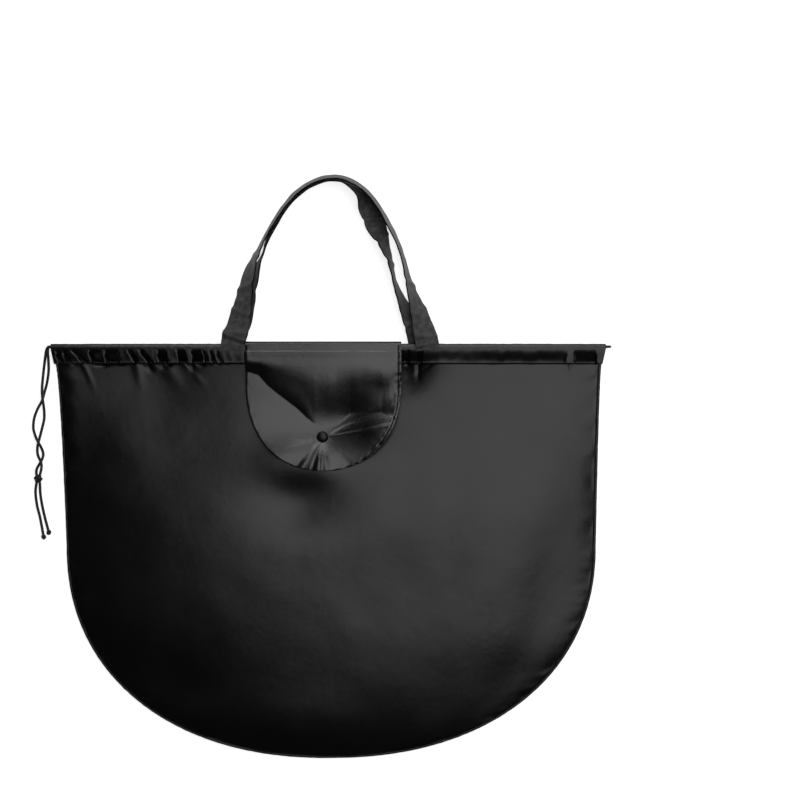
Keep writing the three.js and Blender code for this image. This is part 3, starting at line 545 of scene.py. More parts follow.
# Handle rims keep the cloth's own black, without the painted sheen of the faces.
def strap_edge():
    return once("strap edge", nylon, tuple(cloth_settings().colour), 0.6, 0.3, 0.06)


def cord_cloth():
    return once("black braided cord", cord_weave, tuple(trim_settings().cord_colour))


# Pouch

PANEL_COLUMNS = 300
PANEL_ROWS = 160


def between_sides(across, down):
    """A point of a panel, from its left edge to its right one."""
    left = inset_outline(-1, down, PANEL_INSET)
    right = inset_outline(1, down, PANEL_INSET)
    return mix(left[0], right[0], across), mix(left[1], right[1], across)


def front_place(across, up):
    down = 1 - up
    x, y = between_sides(across, down)
    share = 2 * across - 1
    reach = 1.0 if down >= 1 else clamp((STITCH - y) / (STITCH - BOTTOM))
    z = panel_height(share, reach, y)
    inside = smooth((1 - abs(share)) / WAVE_FADE_SIDE) * smooth((1 - reach) / WAVE_FADE_END)
    waves = BROAD_WAVE * wander(x, y, BROAD_LENGTH, 3.0) + FINE_WAVE * wander(x, y, FINE_LENGTH, 7.0)
    edge = (1 - abs(share)) * PANEL_HALF
    pucker = PUCKER_DEPTH * wander(x * PUCKER_STRETCH, y, PUCKER_LENGTH, 5.0) * bell(edge / PUCKER_REACH)
    return Vector((x, y, z + inside * waves + pucker * smooth(edge / PUCKER_START)))


def back_place(across, up):
    x, y = between_sides(across, 1 - up)
    return Vector((x, y, BACK_HEIGHT + BACK_WAVE * abs(wander(x, y, FINE_LENGTH, 2.0))))


class HELMETBAG_OT_panels(bpy.types.Operator):
    """Make the front and the back panel of the pouch"""

    bl_idname = "helmet_bag.panels"
    bl_label = "Panels"

    def execute(self, context):
        thickness = cloth_settings().thickness
        front = new_object("front_cloth", sheet(PANEL_COLUMNS, PANEL_ROWS, front_place), bag_cloth())
        dress(thicken(front, thickness), "bag_cloth", "front_panel")
        back = new_object("back_cloth", sheet(120, 90, back_place), bag_cloth())
        dress(thicken(back, thickness), "bag_cloth", "back_panel")
        return {"FINISHED"}


class HELMETBAG_OT_edge_seam(bpy.types.Operator):
    """Make the rolled seam round the pouch"""

    bl_idname = "helmet_bag.edge_seam"
    bl_label = "Edge seam"

    def execute(self, context):
        half_width = SEAM_WIDTH / 2
        half_height = SEAM_HIGH[2] / 2

        def place(along, around):
            side = -1 if along < 0.5 else 1
            down = 2 * along if along < 0.5 else 2 - 2 * along
            turn = 2 * pi * around
            reach = 1 + SEAM_UNEVEN * wander(along * SEAM_TURNS, 0.0, SEAM_UNEVEN_LENGTH, 4.0)
            x, y = inset_outline(side, down, half_width * (1 + reach * cos(turn)))
            rise = SEAM_FULL * sin(turn) * min(reach, SEAM_HIGHEST)
            return Vector((x, y, half_height * (1 + rise)))

        seam = new_object("rolled_seam", tube(560, 12, place), bag_cloth())
        dress(seam, "seam_cloth", "edge_seam")
        return {"FINISHED"}


# Casings

# Where the casing's cloth falls in a fold from the cord to the stitches: its two sides and its depth,
# as shares of the half width and of the fall, and its lean to the right on the way down. Between the
# folds the cloth is full and flat.
CASING_FOLDS = [
    # from, to, deep, lean
    (-0.982, -0.962, 0.9, 0.1),
    (-0.957, -0.935, 1.0, 0.2),
    (-0.912, -0.884, 1.0, 0.9),
    (-0.86, -0.818, 1.0, 0.1),
    (-0.804, -0.756, 0.8, 0.0),
    (-0.712, -0.696, 1.0, 0.6),
    (-0.668, -0.65, 1.0, 0.7),
    (-0.612, -0.582, 1.0, 0.1),
    (-0.541, -0.514, 1.0, 0.1),
    (-0.489, -0.455, 1.0, 0.1),
    (-0.449, -0.441, 0.6, 0.2),
    (-0.422, -0.413, 0.6, 0.3),
    (-0.397, -0.389, 0.5, 0.3),
    (-0.3, 0.262, 1.0, 0.0),
    (0.284, 0.296, 1.0, 0.0),
    (0.32, 0.342, 1.0, 0.0),
    (0.25, 0.862, 0.5, 0.0),
    (0.893, 0.972, 0.8, 0.2),
]


def fold_depth(share, level):
    """How far the casing's cloth has fallen into a fold, from 0 to 1."""
    deep = 0.0
    for start, end, depth, lean in CASING_FOLDS:
        ragged = FOLD_RAGGED * wander(start * 40, level * 0.02, 0.006, 17.0)
        place = share - (lean * (0.5 - level) * 2 * TUBE_DROP + ragged) / MOUTH_HALF
        edge = FOLD_EDGE / MOUTH_HALF
        inside = smooth((place - start) / edge + 0.5) * smooth((end - place) / edge + 0.5)
        deep = max(deep, depth * inside)
    return deep


def squared(turn):
    """A point of a circle of radius 1 that is pressed towards a square."""
    power = 2 / TUBE_POWER
    across, up = cos(turn), sin(turn)
    return copysign(abs(across) ** power, across), copysign(abs(up) ** power, up)


def casing_place(across, up, centre, tail, dip, fold):
    """A layer from the stitches inside, round the cord, to the stitches outside (up from 0 to 1)."""
    share = 2 * across - 1
    radius = TUBE - HALF_LAYER
    x = share * MOUTH_HALF
    middle_z = centre(x)
    if WRAP_FROM <= up <= WRAP_TO:
        turn = mix(-WRAP_TURN, WRAP_TURN, (up - WRAP_FROM) / (WRAP_TO - WRAP_FROM))
        round_it = radius + RIDGE * wander(x, up * 0.01, 0.006, 9.0)
        flat_y, flat_z = squared(radians(turn))
        z = middle_z + round_it * flat_z
        if flat_z > 0:
            z -= TUBE_SLANT * round_it * (1 + flat_y) * flat_z
        return Vector((x, TUBE_Y + round_it * flat_y, z))
    inner = up < WRAP_FROM
    level = up / WRAP_FROM if inner else (1 - up) / (1 - WRAP_TO)
    side = -1 if inner else 1
    corner_y, corner_z = squared(radians(WRAP_TURN))
    y = mix(STITCH - TAIL_PAST, TUBE_Y + radius * corner_y, level)
    top = radius * corner_z
    if not inner:
        top -= TUBE_SLANT * radius * (1 + corner_y) * corner_z
    half = mix(HALF_LAYER, top, smooth(level))
    folded = smooth(level)
    if not inner:
        folded = mix(smooth(level / TURNED_UNDER), folded, fold(share, level))
    z = mix(tail(share), middle_z, folded) + side * half
    wide = mix(PANEL_HALF, MOUTH_HALF, level) / MOUTH_HALF
    z -= dip(share, y) * sin(pi * level) * (INNER_DIP if inner else 1.0)
    return Vector((x * wide, y, z))


def front_tail(share):
    return SEAM_MIDDLE + HALF_LAYER + panel_rise(share, 0.0)


def casing_wave(share, y, depth, length, seed):
    fine = depth * wander(share * MOUTH_HALF, y, length, seed)
    return fine * smooth((1 - abs(share)) / CASING_FADE)


def front_dip(share, y):
    return casing_wave(share, y * 0.35, CASING_WAVE, CASING_LENGTH, 11.0)


def back_dip(share, y):
    return casing_wave(share, y * 0.5, BACK_CASING_WAVE, BACK_CASING_LENGTH, 13.0)


def no_fold(share, level):
    """The back casing has no folds: its cloth falls evenly everywhere."""
    return 1.0


class HELMETBAG_OT_casings(bpy.types.Operator):
    """Make the gathered casing at the mouth, front and back"""

    bl_idname = "helmet_bag.casings"
    bl_label = "Casings"

    def execute(self, context):
        thickness = cloth_settings().thickness

        def front(across, up):
            return casing_place(across, 1 - up, front_tube_height, front_tail, front_dip, fold_depth)

        def back(across, up):
            place = casing_place(
                1 - across, 1 - up, lambda x: BACK_TUBE_Z, lambda share: BACK_TAIL, back_dip, no_fold
            )
            place.z = max(place.z, thickness / 2)
            return place

        for name, grid, node in (
            ("front_hem", sheet(700, 68, front), "front_casing"),
            ("back_hem", sheet(300, 36, back), "back_casing"),
        ):
            made = new_object(name, grid, bag_cloth())
            dress(thicken(made, thickness), "bag_cloth", node)
        # The hem's stitches are real; their grey colour is a painted highlight of the hem's edge.
        count = int(2 * PANEL_HALF / STITCH_LENGTH)
        rows = []
        for k in range(4, count - 3):
            across = (k + 0.5) / count
            rows.append(surface_stitch(front, across, HEM_THREAD_UP, thickness * 0.7))
        dress(stitches("hem_thread", rows, STITCH_LENGTH * STITCH_SHARE, STITCH_RADIUS), "seam_cloth")
        return {"FINISHED"}


# Flap

# Rays from the button: direction in degrees, distance at which the cloth is highest and how high it
# stands there over what it lies on.
FLAP_RAYS = [
    # towards, crest, rise
    (0, 0.066, 0.012),
    (9, 0.062, 0.0135),
    (18, 0.06, 0.0074),
    (28, 0.062, 0.0026),
    (40, 0.07, 0.0012),
    (60, 0.05, 0.0004),
    (90, 0.04, 0.0002),
    (110, 0.04, 0.0008),
    (122, 0.05, 0.0022),
    (131, 0.08, 0.0034),
    (140, 0.09, 0.0042),
    (150, 0.09, 0.0044),
    (175, 0.08, 0.005),
    (203, 0.062, 0.0056),
    (222, 0.042, 0.0024),
    (230, 0.036, 0.0014),
    (235, 0.03, 0.0036),
    (243, 0.034, 0.0022),
    (250, 0.032, 0.0002),
    (257, 0.03, 0.0016),
    (263, 0.028, 0.0032),
    (271, 0.034, 0.001),
    (275, 0.034, 0.0028),
    (289, 0.036, 0.0004),
    (300, 0.04, 0.0),
    (315, 0.05, 0.001),
    (330, 0.06, 0.0046),
    (345, 0.066, 0.0086),
    (360, 0.066, 0.012),
]
FLAP_CLOTH = 0.0012
FLAP_LOFT = 0.0026  # air between the flap and the casing, in the middle
OVER_PANEL = 0.0017  # height of the flap's middle over the panel where it lies close
OVER_CASING = 0.0011
LOFT_MIDDLE, LOFT_REACH = 0.01, 0.07
RIDGE_DIP = 0.0004  # hollow of the flap just below the mouth's ridge
RIDGE_DIP_Y, RIDGE_DIP_REACH = 0.2085, 0.005
CREASE_DROP = 0.00115  # step of the pressed crease along the ridge
CREASE_Y, CREASE_WIDTH = 0.215, 0.0024
LEVEL_OFF = 0.24  # how gently a fold turns level
FOLD_ROUNDING = 1.7  # degrees
FOLD_START = 0.0065  # from the button's middle
FLAP_LYING, FLAP_TURNING = 0.82, 0.92  # shares of the flap that lie on the front and turn over
ROWS_TO_THE_END = 1.15  # more than 1 crowds the rows at the round end
HEM_FROM_EDGE, HEM_WIDTH, HEM_DEPTH = 0.003, 0.0008, 0.0006
EDGE_DROP, EDGE_DROP_WIDTH = 0.0006, 0.0013
FLAP_PUCKER_LEFT, FLAP_PUCKER_RIGHT = 0.0003, 0.0011
FLAP_PUCKER_LENGTH = 0.006
HEM_FADE = 0.02  # distance from the middle over which the hem's stitches begin to show
# The fall of the flap from the mouth's ridge to the panel: where it starts and ends across the flap,
# and how evenly it falls (less than 1 is steepest at its foot).
FLAP_FALL = [
    # x, starts at y, ends at y, evenness
    (-0.095, 0.206, 0.196, 1.0),
    (-0.084, 0.205, 0.194, 1.0),
    (-0.074, 0.2045, 0.1905, 1.0),
    (-0.064, 0.203, 0.179, 0.9),
    (-0.054, 0.201, 0.171, 0.8),
    (-0.044, 0.1985, 0.1635, 0.78),
    (-0.033, 0.1955, 0.155, 0.78),
    (-0.022, 0.1925, 0.144, 0.85),
    (-0.014, 0.1915, 0.137, 0.92),
    (-0.006, 0.192, 0.134, 1.0),
    (0.002, 0.193, 0.135, 1.0),
    (0.01, 0.197, 0.137, 1.0),
    (0.017, 0.1975, 0.1425, 1.0),
    (0.024, 0.1975, 0.149, 1.0),
    (0.037, 0.197, 0.15, 1.0),
    (0.051, 0.193, 0.1505, 1.0),
    (0.059, 0.19, 0.15, 1.0),
    (0.066, 0.19, 0.144, 1.0),
    (0.073, 0.196, 0.132, 1.0),
    (0.084, 0.2, 0.126, 1.0),
]


def flap_half(y):
    straight = FLAP_FOLD - FLAP_STRAIGHT
    if y >= straight:
        return FLAP_HALF
    share = clamp((straight - y) / (straight - FLAP_END))
    return FLAP_HALF * (1 - share**ROUND_POWER) ** (1 / ROUND_POWER)


def table_values(table, place):
    """The values in a table's row at this place of its first column."""
    place = clamp(place, table[0][0], table[-1][0])
    for before, after in zip(table, table[1:]):
        if place <= after[0]:
            share = (place - before[0]) / (after[0] - before[0])
            return [mix(a, b, share) for a, b in zip(before[1:], after[1:])]
    return table[-1][1:]


def level_off(share):
    """Rises evenly from 0, then turns to stay at 1."""
    part = clamp(0.5 + 0.5 * (1 - share) / LEVEL_OFF)
    return mix(1, share, part) - LEVEL_OFF * part * (1 - part)


def flap_rise(x, y):
    away = hypot(x - BUTTON_X, y - BUTTON_Y)
    turn = degrees(atan2(y - BUTTON_Y, x - BUTTON_X)) % 360
    lift = 0.0
    for part in (-2, -1, 0, 1, 2):
        crest, rise = table_values(FLAP_RAYS, (turn + part * FOLD_ROUNDING) % 360)
        lift += rise * level_off(max(away - FOLD_START, 0.0) / (crest - FOLD_START)) / 5
    return lift


def flap_height(x, y):
    """Height of the flap's cloth: low over the panel, high over the mouth, with the fall between."""
    low = panel_height_at(x, min(y, STITCH)) + OVER_PANEL + flap_rise(x, y)
    high = front_tube_height(x) + TUBE + OVER_CASING
    high += FLAP_LOFT * bell((x - LOFT_MIDDLE) / LOFT_REACH)
    high -= RIDGE_DIP * bell((y - RIDGE_DIP_Y) / RIDGE_DIP_REACH)
    high -= CREASE_DROP * clamp((y - CREASE_Y) / CREASE_WIDTH)
    start, end, evenness = table_values(FLAP_FALL, x)
    share = (y - end) / (start - end)
    if share <= 0:
        return low
    climbed = level_off(share) ** evenness
    return mix(low, max(low, high), climbed)


def flap_place(across, up):
    """up runs from the round end (0) over the fold to the back casing (1)."""
    column = sin((across - 0.5) * pi)
    turn_y = TUBE_Y + TUBE * 0.5
    if up <= FLAP_LYING:
        share = up / FLAP_LYING
        y = mix(FLAP_END, turn_y, 1 - cos(share * pi / 2) ** ROWS_TO_THE_END)
        half = flap_half(y)
        x = FLAP_CENTRE + column * half
        edge = (1 - abs(column)) * half
        stitched = smooth((x - FLAP_CENTRE) / HEM_FADE)
        hem = -HEM_DEPTH * bell((edge - HEM_FROM_EDGE) / HEM_WIDTH) * stitched
        depth = mix(FLAP_PUCKER_LEFT, FLAP_PUCKER_RIGHT, stitched)
        pucker = depth * wander(x, y, FLAP_PUCKER_LENGTH, 21.0) * bell(edge / FLAP_PUCKER_LENGTH)
        turned_down = -EDGE_DROP * bell(edge / EDGE_DROP_WIDTH)
        return Vector((x, y, flap_height(x, y) + hem + pucker + turned_down))
    x = FLAP_CENTRE + column * FLAP_HALF
    radius = FLAP_FOLD - turn_y - FLAP_CLOTH / 2
    crown = flap_height(x, turn_y) - radius
    if up <= FLAP_TURNING:
        turn = pi / 2 * (1 - (up - FLAP_LYING) / (FLAP_TURNING - FLAP_LYING))
        return Vector((x, turn_y + radius * cos(turn), crown + radius * sin(turn)))
    share = (up - FLAP_TURNING) / (1 - FLAP_TURNING)
    y = mix(turn_y + radius, TOP + TOUCH + FLAP_CLOTH / 2, smooth(share))
    return Vector((x, y, mix(crown, BACK_TUBE_Z - TUBE * 0.4, share)))


def stitches(name, places, half_length, radius):
    """A row of short stitches: places gives the middle, the direction along and the way up of each."""
    bm = bmesh.new()
    for middle, along, up in places:
        side = up.cross(along).normalized()
        ellipsoid(bm, 8, 6, middle, along * half_length, side * radius, up * radius)
    # The thread's colour is a painted highlight.
    return new_object(name, bm, once("black thread", cord_weave, THREAD_HIGHLIGHT_COLOUR))


def surface_stitch(place, across, up, lift):
    """Where a stitch lies on a sheet: its middle, the direction along it and the way up."""
    here = place(across, up)
    along = (place(across + STITCH_STEP, up) - here).normalized()
    aside = place(across, up - STITCH_STEP) - here
    way_up = along.cross(aside).normalized()
    if way_up.z < 0:
        way_up = -way_up
    return here + way_up * lift, along, way_up


class HELMETBAG_OT_flap(bpy.types.Operator):
    """Make the flap that is buttoned over the mouth"""

    bl_idname = "helmet_bag.flap"
    bl_label = "Flap"

    def execute(self, context):
        flap = new_object("flap_cloth", sheet(190, 230, flap_place), flap_cloth())
        dress(thicken(flap, FLAP_CLOTH), "bag_cloth", "flap")
        return {"FINISHED"}


SHANK_RADIUS = 0.0018
BUTTON_CLEAR = 0.0002
BUTTON_DOME = [
    # share of the radius, height
    (0.86, 0.0),
    (0.97, 0.0003),
    (1.0, 0.0009),
    (0.985, 0.0015),
    (0.93, 0.0021),
    (0.82, 0.0027),
    (0.66, 0.0032),
    (0.46, 0.0036),
    (0.24, 0.0038),
    (0.0, 0.0039),
]


class HELMETBAG_OT_button(bpy.types.Operator):
    """Make the button that closes the flap"""

    bl_idname = "helmet_bag.button"
    bl_label = "Button"

    def execute(self, context):
        foot = panel_height_at(BUTTON_X, BUTTON_Y) + HALF_LAYER
        cap = flap_height(BUTTON_X, BUTTON_Y) + FLAP_CLOTH / 2 + BUTTON_CLEAR
        profile = [(0.0, foot), (SHANK_RADIUS, foot), (SHANK_RADIUS, cap)]
        profile += [(BUTTON_RADIUS * share, cap + height) for share, height in BUTTON_DOME]
        bm = bmesh.new()
        line = [bm.verts.new((BUTTON_X + r, BUTTON_Y, z)) for r, z in profile]
        edges = [bm.edges.new(pair) for pair in zip(line, line[1:])]
        bmesh.ops.spin(
            bm,
            geom=line + edges,
            cent=(BUTTON_X, BUTTON_Y, 0),
            axis=(0, 0, 1),
            angle=2 * pi,
            steps=48,
            use_merge=True,
        )
        bmesh.ops.remove_doubles(bm, verts=bm.verts, dist=1e-6)
        bmesh.ops.recalc_face_normals(bm, faces=bm.faces)
        finish = moulded("moulded black plastic", tuple(trim_settings().button_colour))
        button = new_object("domed_button", bm, finish)
        dress(button, "button", "flap_button")
        return {"FINISHED"}


# Handles: across from -1 to 1 between a strap's two ends, up as a share of the rise, roll in degrees
# with the inner edge raised, and lift as a share of the height of its seat.
FRONT_HANDLE = [
    # across, up, roll, lift
    (-1.006, -0.04, 0, 1),
    (-1.006, -0.01, 2, 1),
    (-0.992, 0.04, 6, 0.86),
    (-0.955, 0.1, 16, 0.6),
    (-0.93, 0.17, 27, 0.34),
    (-0.905, 0.24, 40, 0.14),
    (-0.88, 0.31, 50, 0.04),
    (-0.845, 0.41, 57, 0),
    (-0.795, 0.49, 69, 0),
    (-0.74, 0.56, 77, 0),
    (-0.68, 0.635, 80, 0),
    (-0.585, 0.73, 79, 0),
    (-0.47, 0.83, 78, 0),
    (-0.32, 0.92, 77, 0),
    (-0.14, 0.98, 77, 0),
    (0.05, 1, 77, 0),
    (0.22, 0.975, 77, 0),
    (0.37, 0.915, 78, 0),
    (0.5, 0.825, 79, 0),
    (0.615, 0.71, 79, 0),
    (0.715, 0.59, 80, 0),
    (0.77, 0.49, 80, 0),
    (0.805, 0.4, 76, 0),
    (0.85, 0.31, 67, 0.02),
    (0.905, 0.215, 50, 0.12),
    (0.955, 0.125, 34, 0.42),
    (0.99, 0.05, 17, 0.76),
    (1.01, -0.005, 4, 1),
    (1.015, -0.04, 0, 1),
]
BACK_HANDLE = [
    # across, up, roll, lift
    (-1.006, -0.04, 0, 1),
    (-1.004, 0.01, 1, 1),
    (-0.975, 0.06, 8, 0.9),
    (-0.93, 0.12, 22, 0.7),
    (-0.89, 0.18, 36, 0.5),
    (-0.855, 0.24, 49, 0.25),
    (-0.82, 0.31, 60, 0.1),
    (-0.77, 0.41, 71, 0),
    (-0.735, 0.485, 78, 0),
    (-0.69, 0.55, 84, 0),
    (-0.65, 0.625, 79, 0),
    (-0.56, 0.72, 78, 0),
    (-0.45, 0.818, 78, 0),
    (-0.307, 0.906, 77, 0),
    (-0.134, 0.965, 77, 0),
    (0.042, 0.984, 77, 0),
    (0.18, 0.962, 77, 0),
    (0.305, 0.905, 68, 0),
    (0.385, 0.83, 34, 0),
    (0.445, 0.76, 28, 0),
    (0.475, 0.71, 30, 0),
    (0.515, 0.65, 48, 0),
    (0.565, 0.585, 64, 0),
    (0.61, 0.515, 75, 0),
    (0.645, 0.44, 81, 0),
    (0.675, 0.365, 80, 0),
    (0.72, 0.295, 73, 0.05),
    (0.765, 0.235, 64, 0.15),
    (0.81, 0.18, 51, 0.35),
    (0.86, 0.125, 34, 0.6),
    (0.91, 0.06, 16, 0.85),
    (0.935, -0.005, 3, 1),
    (0.94, -0.04, 0, 1),
]


# Creases across a strap: place along it, slant and depth
FRONT_CREASES = [
    # at, slant, depth
    (0.066, 0.014, 0.005),
    (0.086, -0.012, 0.0016),
    (0.15, 0.02, 0.0012),
    (0.225, -0.016, 0.0016),
    (0.3, 0.012, 0.001),
    (0.8, 0.016, 0.0012),
    (0.87, -0.02, 0.0014),
    (0.935, 0.012, 0.0016),
    (0.965, -0.01, 0.0012),
]
BACK_CREASES = [
    # at, slant, depth
    (0.08, -0.01, 0.0014),
    (0.2, 0.016, 0.0012),
    (0.6, 0.014, 0.0014),
    (0.665, -0.02, 0.002),
    (0.73, 0.012, 0.0012),
    (0.9, -0.014, 0.0014),
]


def spline(points, share):
    """A point of the smooth line through evenly spaced rows of numbers, share from 0 to 1."""
    last = len(points) - 1
    place = clamp(share) * last
    i = min(int(place), last - 1)
    t = place - i
    before, here, there, after = (points[clamp(i + k, 0, last)] for k in (-1, 0, 1, 2))
    found = []
    for a, b, c, d in zip(before, here, there, after):
        bend = (2 * a - 5 * b + 4 * c - d) * t * t + (3 * b - a - 3 * c + d) * t**3
        found.append(0.5 * (2 * b + (c - a) * t + bend))
    return found


def strap(name, table, seat, seed, creases):
    settings = cloth_settings()
    width, thickness = settings.strap_width, settings.strap_thickness
    rows = []
    for across, up, roll, lift in table:
        turn = radians(roll)
        resting = STRAP_LIFT + width / 2 * sin(turn) + thickness / 2 * cos(turn)
        seated = lift * (seat - thickness / 2 - STRAP_LIFT)
        x = HANDLE_CENTRE + across * HANDLE_HALF
        rows.append((x, TOP + up * HANDLE_RISE, resting + seated, turn))

    def place(along, side):
        x, y, z, turn = spline(rows, along)
        ahead = Vector(spline(rows, along + STRAP_STEP)[:3])
        behind = Vector(spline(rows, along - STRAP_STEP)[:3])
        tangent = (ahead - behind).normalized()
        inward = Vector((tangent.y, -tangent.x, 0)).normalized()
        across = inward * cos(turn)
        across.z = sin(turn)
        normal = tangent.cross(across).normalized()
        across = normal.cross(tangent)
        crown = STRAP_WAVE * wander(along * 0.5, side * 0.014, 0.01, seed)
        for at, slanting, depth in creases:
            crown -= depth * bell((along + slanting * (side - 0.5) - at) / CREASE_REACH)
        return Vector((x, y, z)) + across * (side - 0.5) * width + normal * crown

    made = new_object(name, sheet(300, 10, place), strap_cloth())
    made.data.materials.append(strap_edge())
    thicken(made, thickness)
    made.modifiers["cloth thickness"].material_offset_rim = 1
    bevel = made.modifiers.new("pressed edges", "BEVEL")
    bevel.width = STRAP_BEVEL
    bevel.segments = 2
    bevel.limit_method = "ANGLE"
    return made


class HELMETBAG_OT_handles(bpy.types.Operator):
    """Make the two strap handles"""

    bl_idname = "helmet_bag.handles"
    bl_label = "Handles"

    def execute(self, context):
        half = cloth_settings().strap_thickness / 2
        seat = front_tube_height(HANDLE_CENTRE - HANDLE_HALF) + TUBE + TOUCH + half
        front = strap("front_strap", FRONT_HANDLE, seat, 31.0, FRONT_CREASES)
        dress(front, "handle_webbing", "front_handle")
        back_seat = BACK_TUBE_Z + TUBE + TOUCH + half
        back = strap("back_strap", BACK_HANDLE, back_seat, 37.0, BACK_CREASES)
        dress(back, "handle_webbing", "back_handle")
        return {"FINISHED"}


# Drawcord
CORD_STEPS = 400
BRAID_TURN = 0.0034
BRAID_RELIEF = 0.07
KNOT_TURNS = 2.5
KNOT_RELIEF = 0.06
KNOT_ROUND = 0.4  # less than 1 fills the knot towards its ends
KNOT_TIGHT = 0.8
CORD_KNOTS = [
    # node, thickness of its turns as a share of the cord's, angle on the floor
    ("tie_knot", 1.0, 2.2),
    ("end_knot_a", 0.8, 1.0),
    ("end_knot_b", 0.8, 2.0),
]
INTO_KNOT = 0.5  # how far each stretch runs into its knots

# The points of its free stretches, as the frame has them: LYING on the floor, OVER another strand
LYING = CORD_RADIUS + 0.00005
OVER = 3 * LYING + 0.0009
EXIT_X = -MOUTH_HALF - 0.0006
STRAND_A = [
    (EXIT_X, TUBE_Y, 0.0093), (-0.3028, 0.221, 0.009), (-0.305, 0.2176, 0.0076),
    (-0.3066, 0.21, 0.0046), (-0.3083, 0.2, LYING), (-0.3096, 0.188, LYING),
    (-0.3102, 0.179, 0.0028), (-0.31, 0.1715, 0.0049), (-0.3092, 0.164, OVER),
    (-0.3082, 0.156, 0.0042), (-0.308, 0.149, 0.002), (-0.3084, 0.142, LYING),
    (-0.311, 0.131, LYING), (-0.3136, 0.121, LYING), (-0.3156, 0.112, LYING),
    (-0.315, 0.104, LYING), (-0.3116, 0.096, LYING), (-0.3112, 0.09, LYING),
    (-0.3125, 0.0837, 0.0022),
]
STRAND_B = [
    (EXIT_X, TUBE_Y, BACK_TUBE_Z), (-0.3026, 0.221, 0.0029), (-0.3042, 0.2178, 0.0024),
    (-0.3036, 0.206, LYING), (-0.3034, 0.195, LYING), (-0.305, 0.183, LYING),
    (-0.3076, 0.173, LYING), (-0.3106, 0.163, LYING), (-0.3154, 0.154, LYING),
    (-0.319, 0.144, LYING), (-0.32, 0.134, LYING), (-0.3184, 0.1274, 0.0026),
    (-0.3164, 0.1226, 0.0049), (-0.314, 0.118, OVER), (-0.3112, 0.1126, 0.0042),
    (-0.3094, 0.1076, 0.0024), (-0.309, 0.1036, 0.0032), (-0.3098, 0.1, 0.0052),
    (-0.3116, 0.0964, OVER), (-0.3144, 0.092, 0.0046), (-0.3162, 0.0882, 0.0038),
    (-0.3164, 0.0838, 0.0035),
]
TAIL_A = [
    (-0.3128, 0.0734, 0.0022), (-0.3124, 0.063, LYING), (-0.3108, 0.052, LYING),
    (-0.3078, 0.038, LYING), (-0.3038, 0.0234, 0.0024),
]
TAIL_B = [
    (-0.3164, 0.07335, 0.0026), (-0.3176, 0.064, LYING), (-0.316, 0.05, LYING),
    (-0.3126, 0.036, LYING), (-0.3092, 0.0186, 0.0024),
]


def ring(side, up, turn):
    return side * cos(turn) + up * sin(turn)


def round_cord(name, points, columns, radius):
    """A braided cord along a list of points, evenly spaced by length."""
    dense = [Vector(spline(points, k / CORD_STEPS)) for k in range(CORD_STEPS + 1)]
    lengths = [0.0]
    for a, b in zip(dense, dense[1:]):
        lengths.append(lengths[-1] + (b - a).length)

    def at(share):
        want = clamp(share) * lengths[-1]
        low = next(i for i in range(CORD_STEPS) if lengths[i + 1] >= want - 1e-12)
        part = (want - lengths[low]) / (lengths[low + 1] - lengths[low])
        return dense[low].lerp(dense[low + 1], part)

    stations = []
    for k in range(columns + 1):
        share = k / columns
        tangent = (at(share + 0.01) - at(share - 0.01)).normalized()
        side = tangent.cross(Vector((0, 0, 1)))
        side = side.normalized() if side.length > 0.05 else Vector((1, 0, 0))
        stations.append((at(share), side, side.cross(tangent).normalized()))
    turns = lengths[-1] / BRAID_TURN

    def place(along, around):
        middle, side, up = stations[round(along * columns)]
        turn = 2 * pi * around
        twist = 2 * pi * turns * along
        braid = BRAID_RELIEF * sin(4 * turn + twist) * sin(4 * turn - twist)
        return middle + ring(side, up, turn) * radius * (1 + braid)

    return new_object(name, tube(columns, 16, place), cord_cloth()), lengths[-1]


def knot(name, middle, size, radius, turned):
    """An overhand knot pulled tight: turns of the cord round its own core."""
    axis = Vector((cos(turned), sin(turned), 0.0))
    aside = Vector((-sin(turned), cos(turned), 0.0))
    half_wide = min(size[0], size[1]) / 2 - radius
    half_high = size[2] / 2 - radius
    reach = max(size[0], size[1]) / 2 - radius * KNOT_TIGHT

    def line(share):
        turn = 2 * pi * KNOT_TURNS * share
        swell = sin(pi * clamp(share, 0.02, 0.98)) ** KNOT_ROUND
        along = axis * reach * (2 * share - 1) * 0.9
        rise = Vector((0.0, 0.0, half_high * sin(turn) * swell))
        return middle + along + aside * (half_wide * cos(turn) * swell) + rise

    def place(along, around):
        tangent = (line(along + 0.005) - line(along - 0.005)).normalized()
        side = tangent.cross(Vector((0.1, 0.2, 1))).normalized()
        up = side.cross(tangent)
        turn = 2 * pi * around
        braid = KNOT_RELIEF * sin(4 * turn + 60 * along) * sin(4 * turn - 60 * along)
        return line(along) + ring(side, up, turn) * radius * (1 + braid)

    bm = tube(110, 14, place)
    ellipsoid(bm, 16, 10, middle, axis * reach, aside * half_wide, Vector((0, 0, half_high)))
    return new_object(name, bm, cord_cloth())


def middle_of(node):
    """The middle and the size of a node's box."""
    low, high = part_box(node)
    return (Vector(low) + Vector(high)) / 2, Vector(high) - Vector(low)


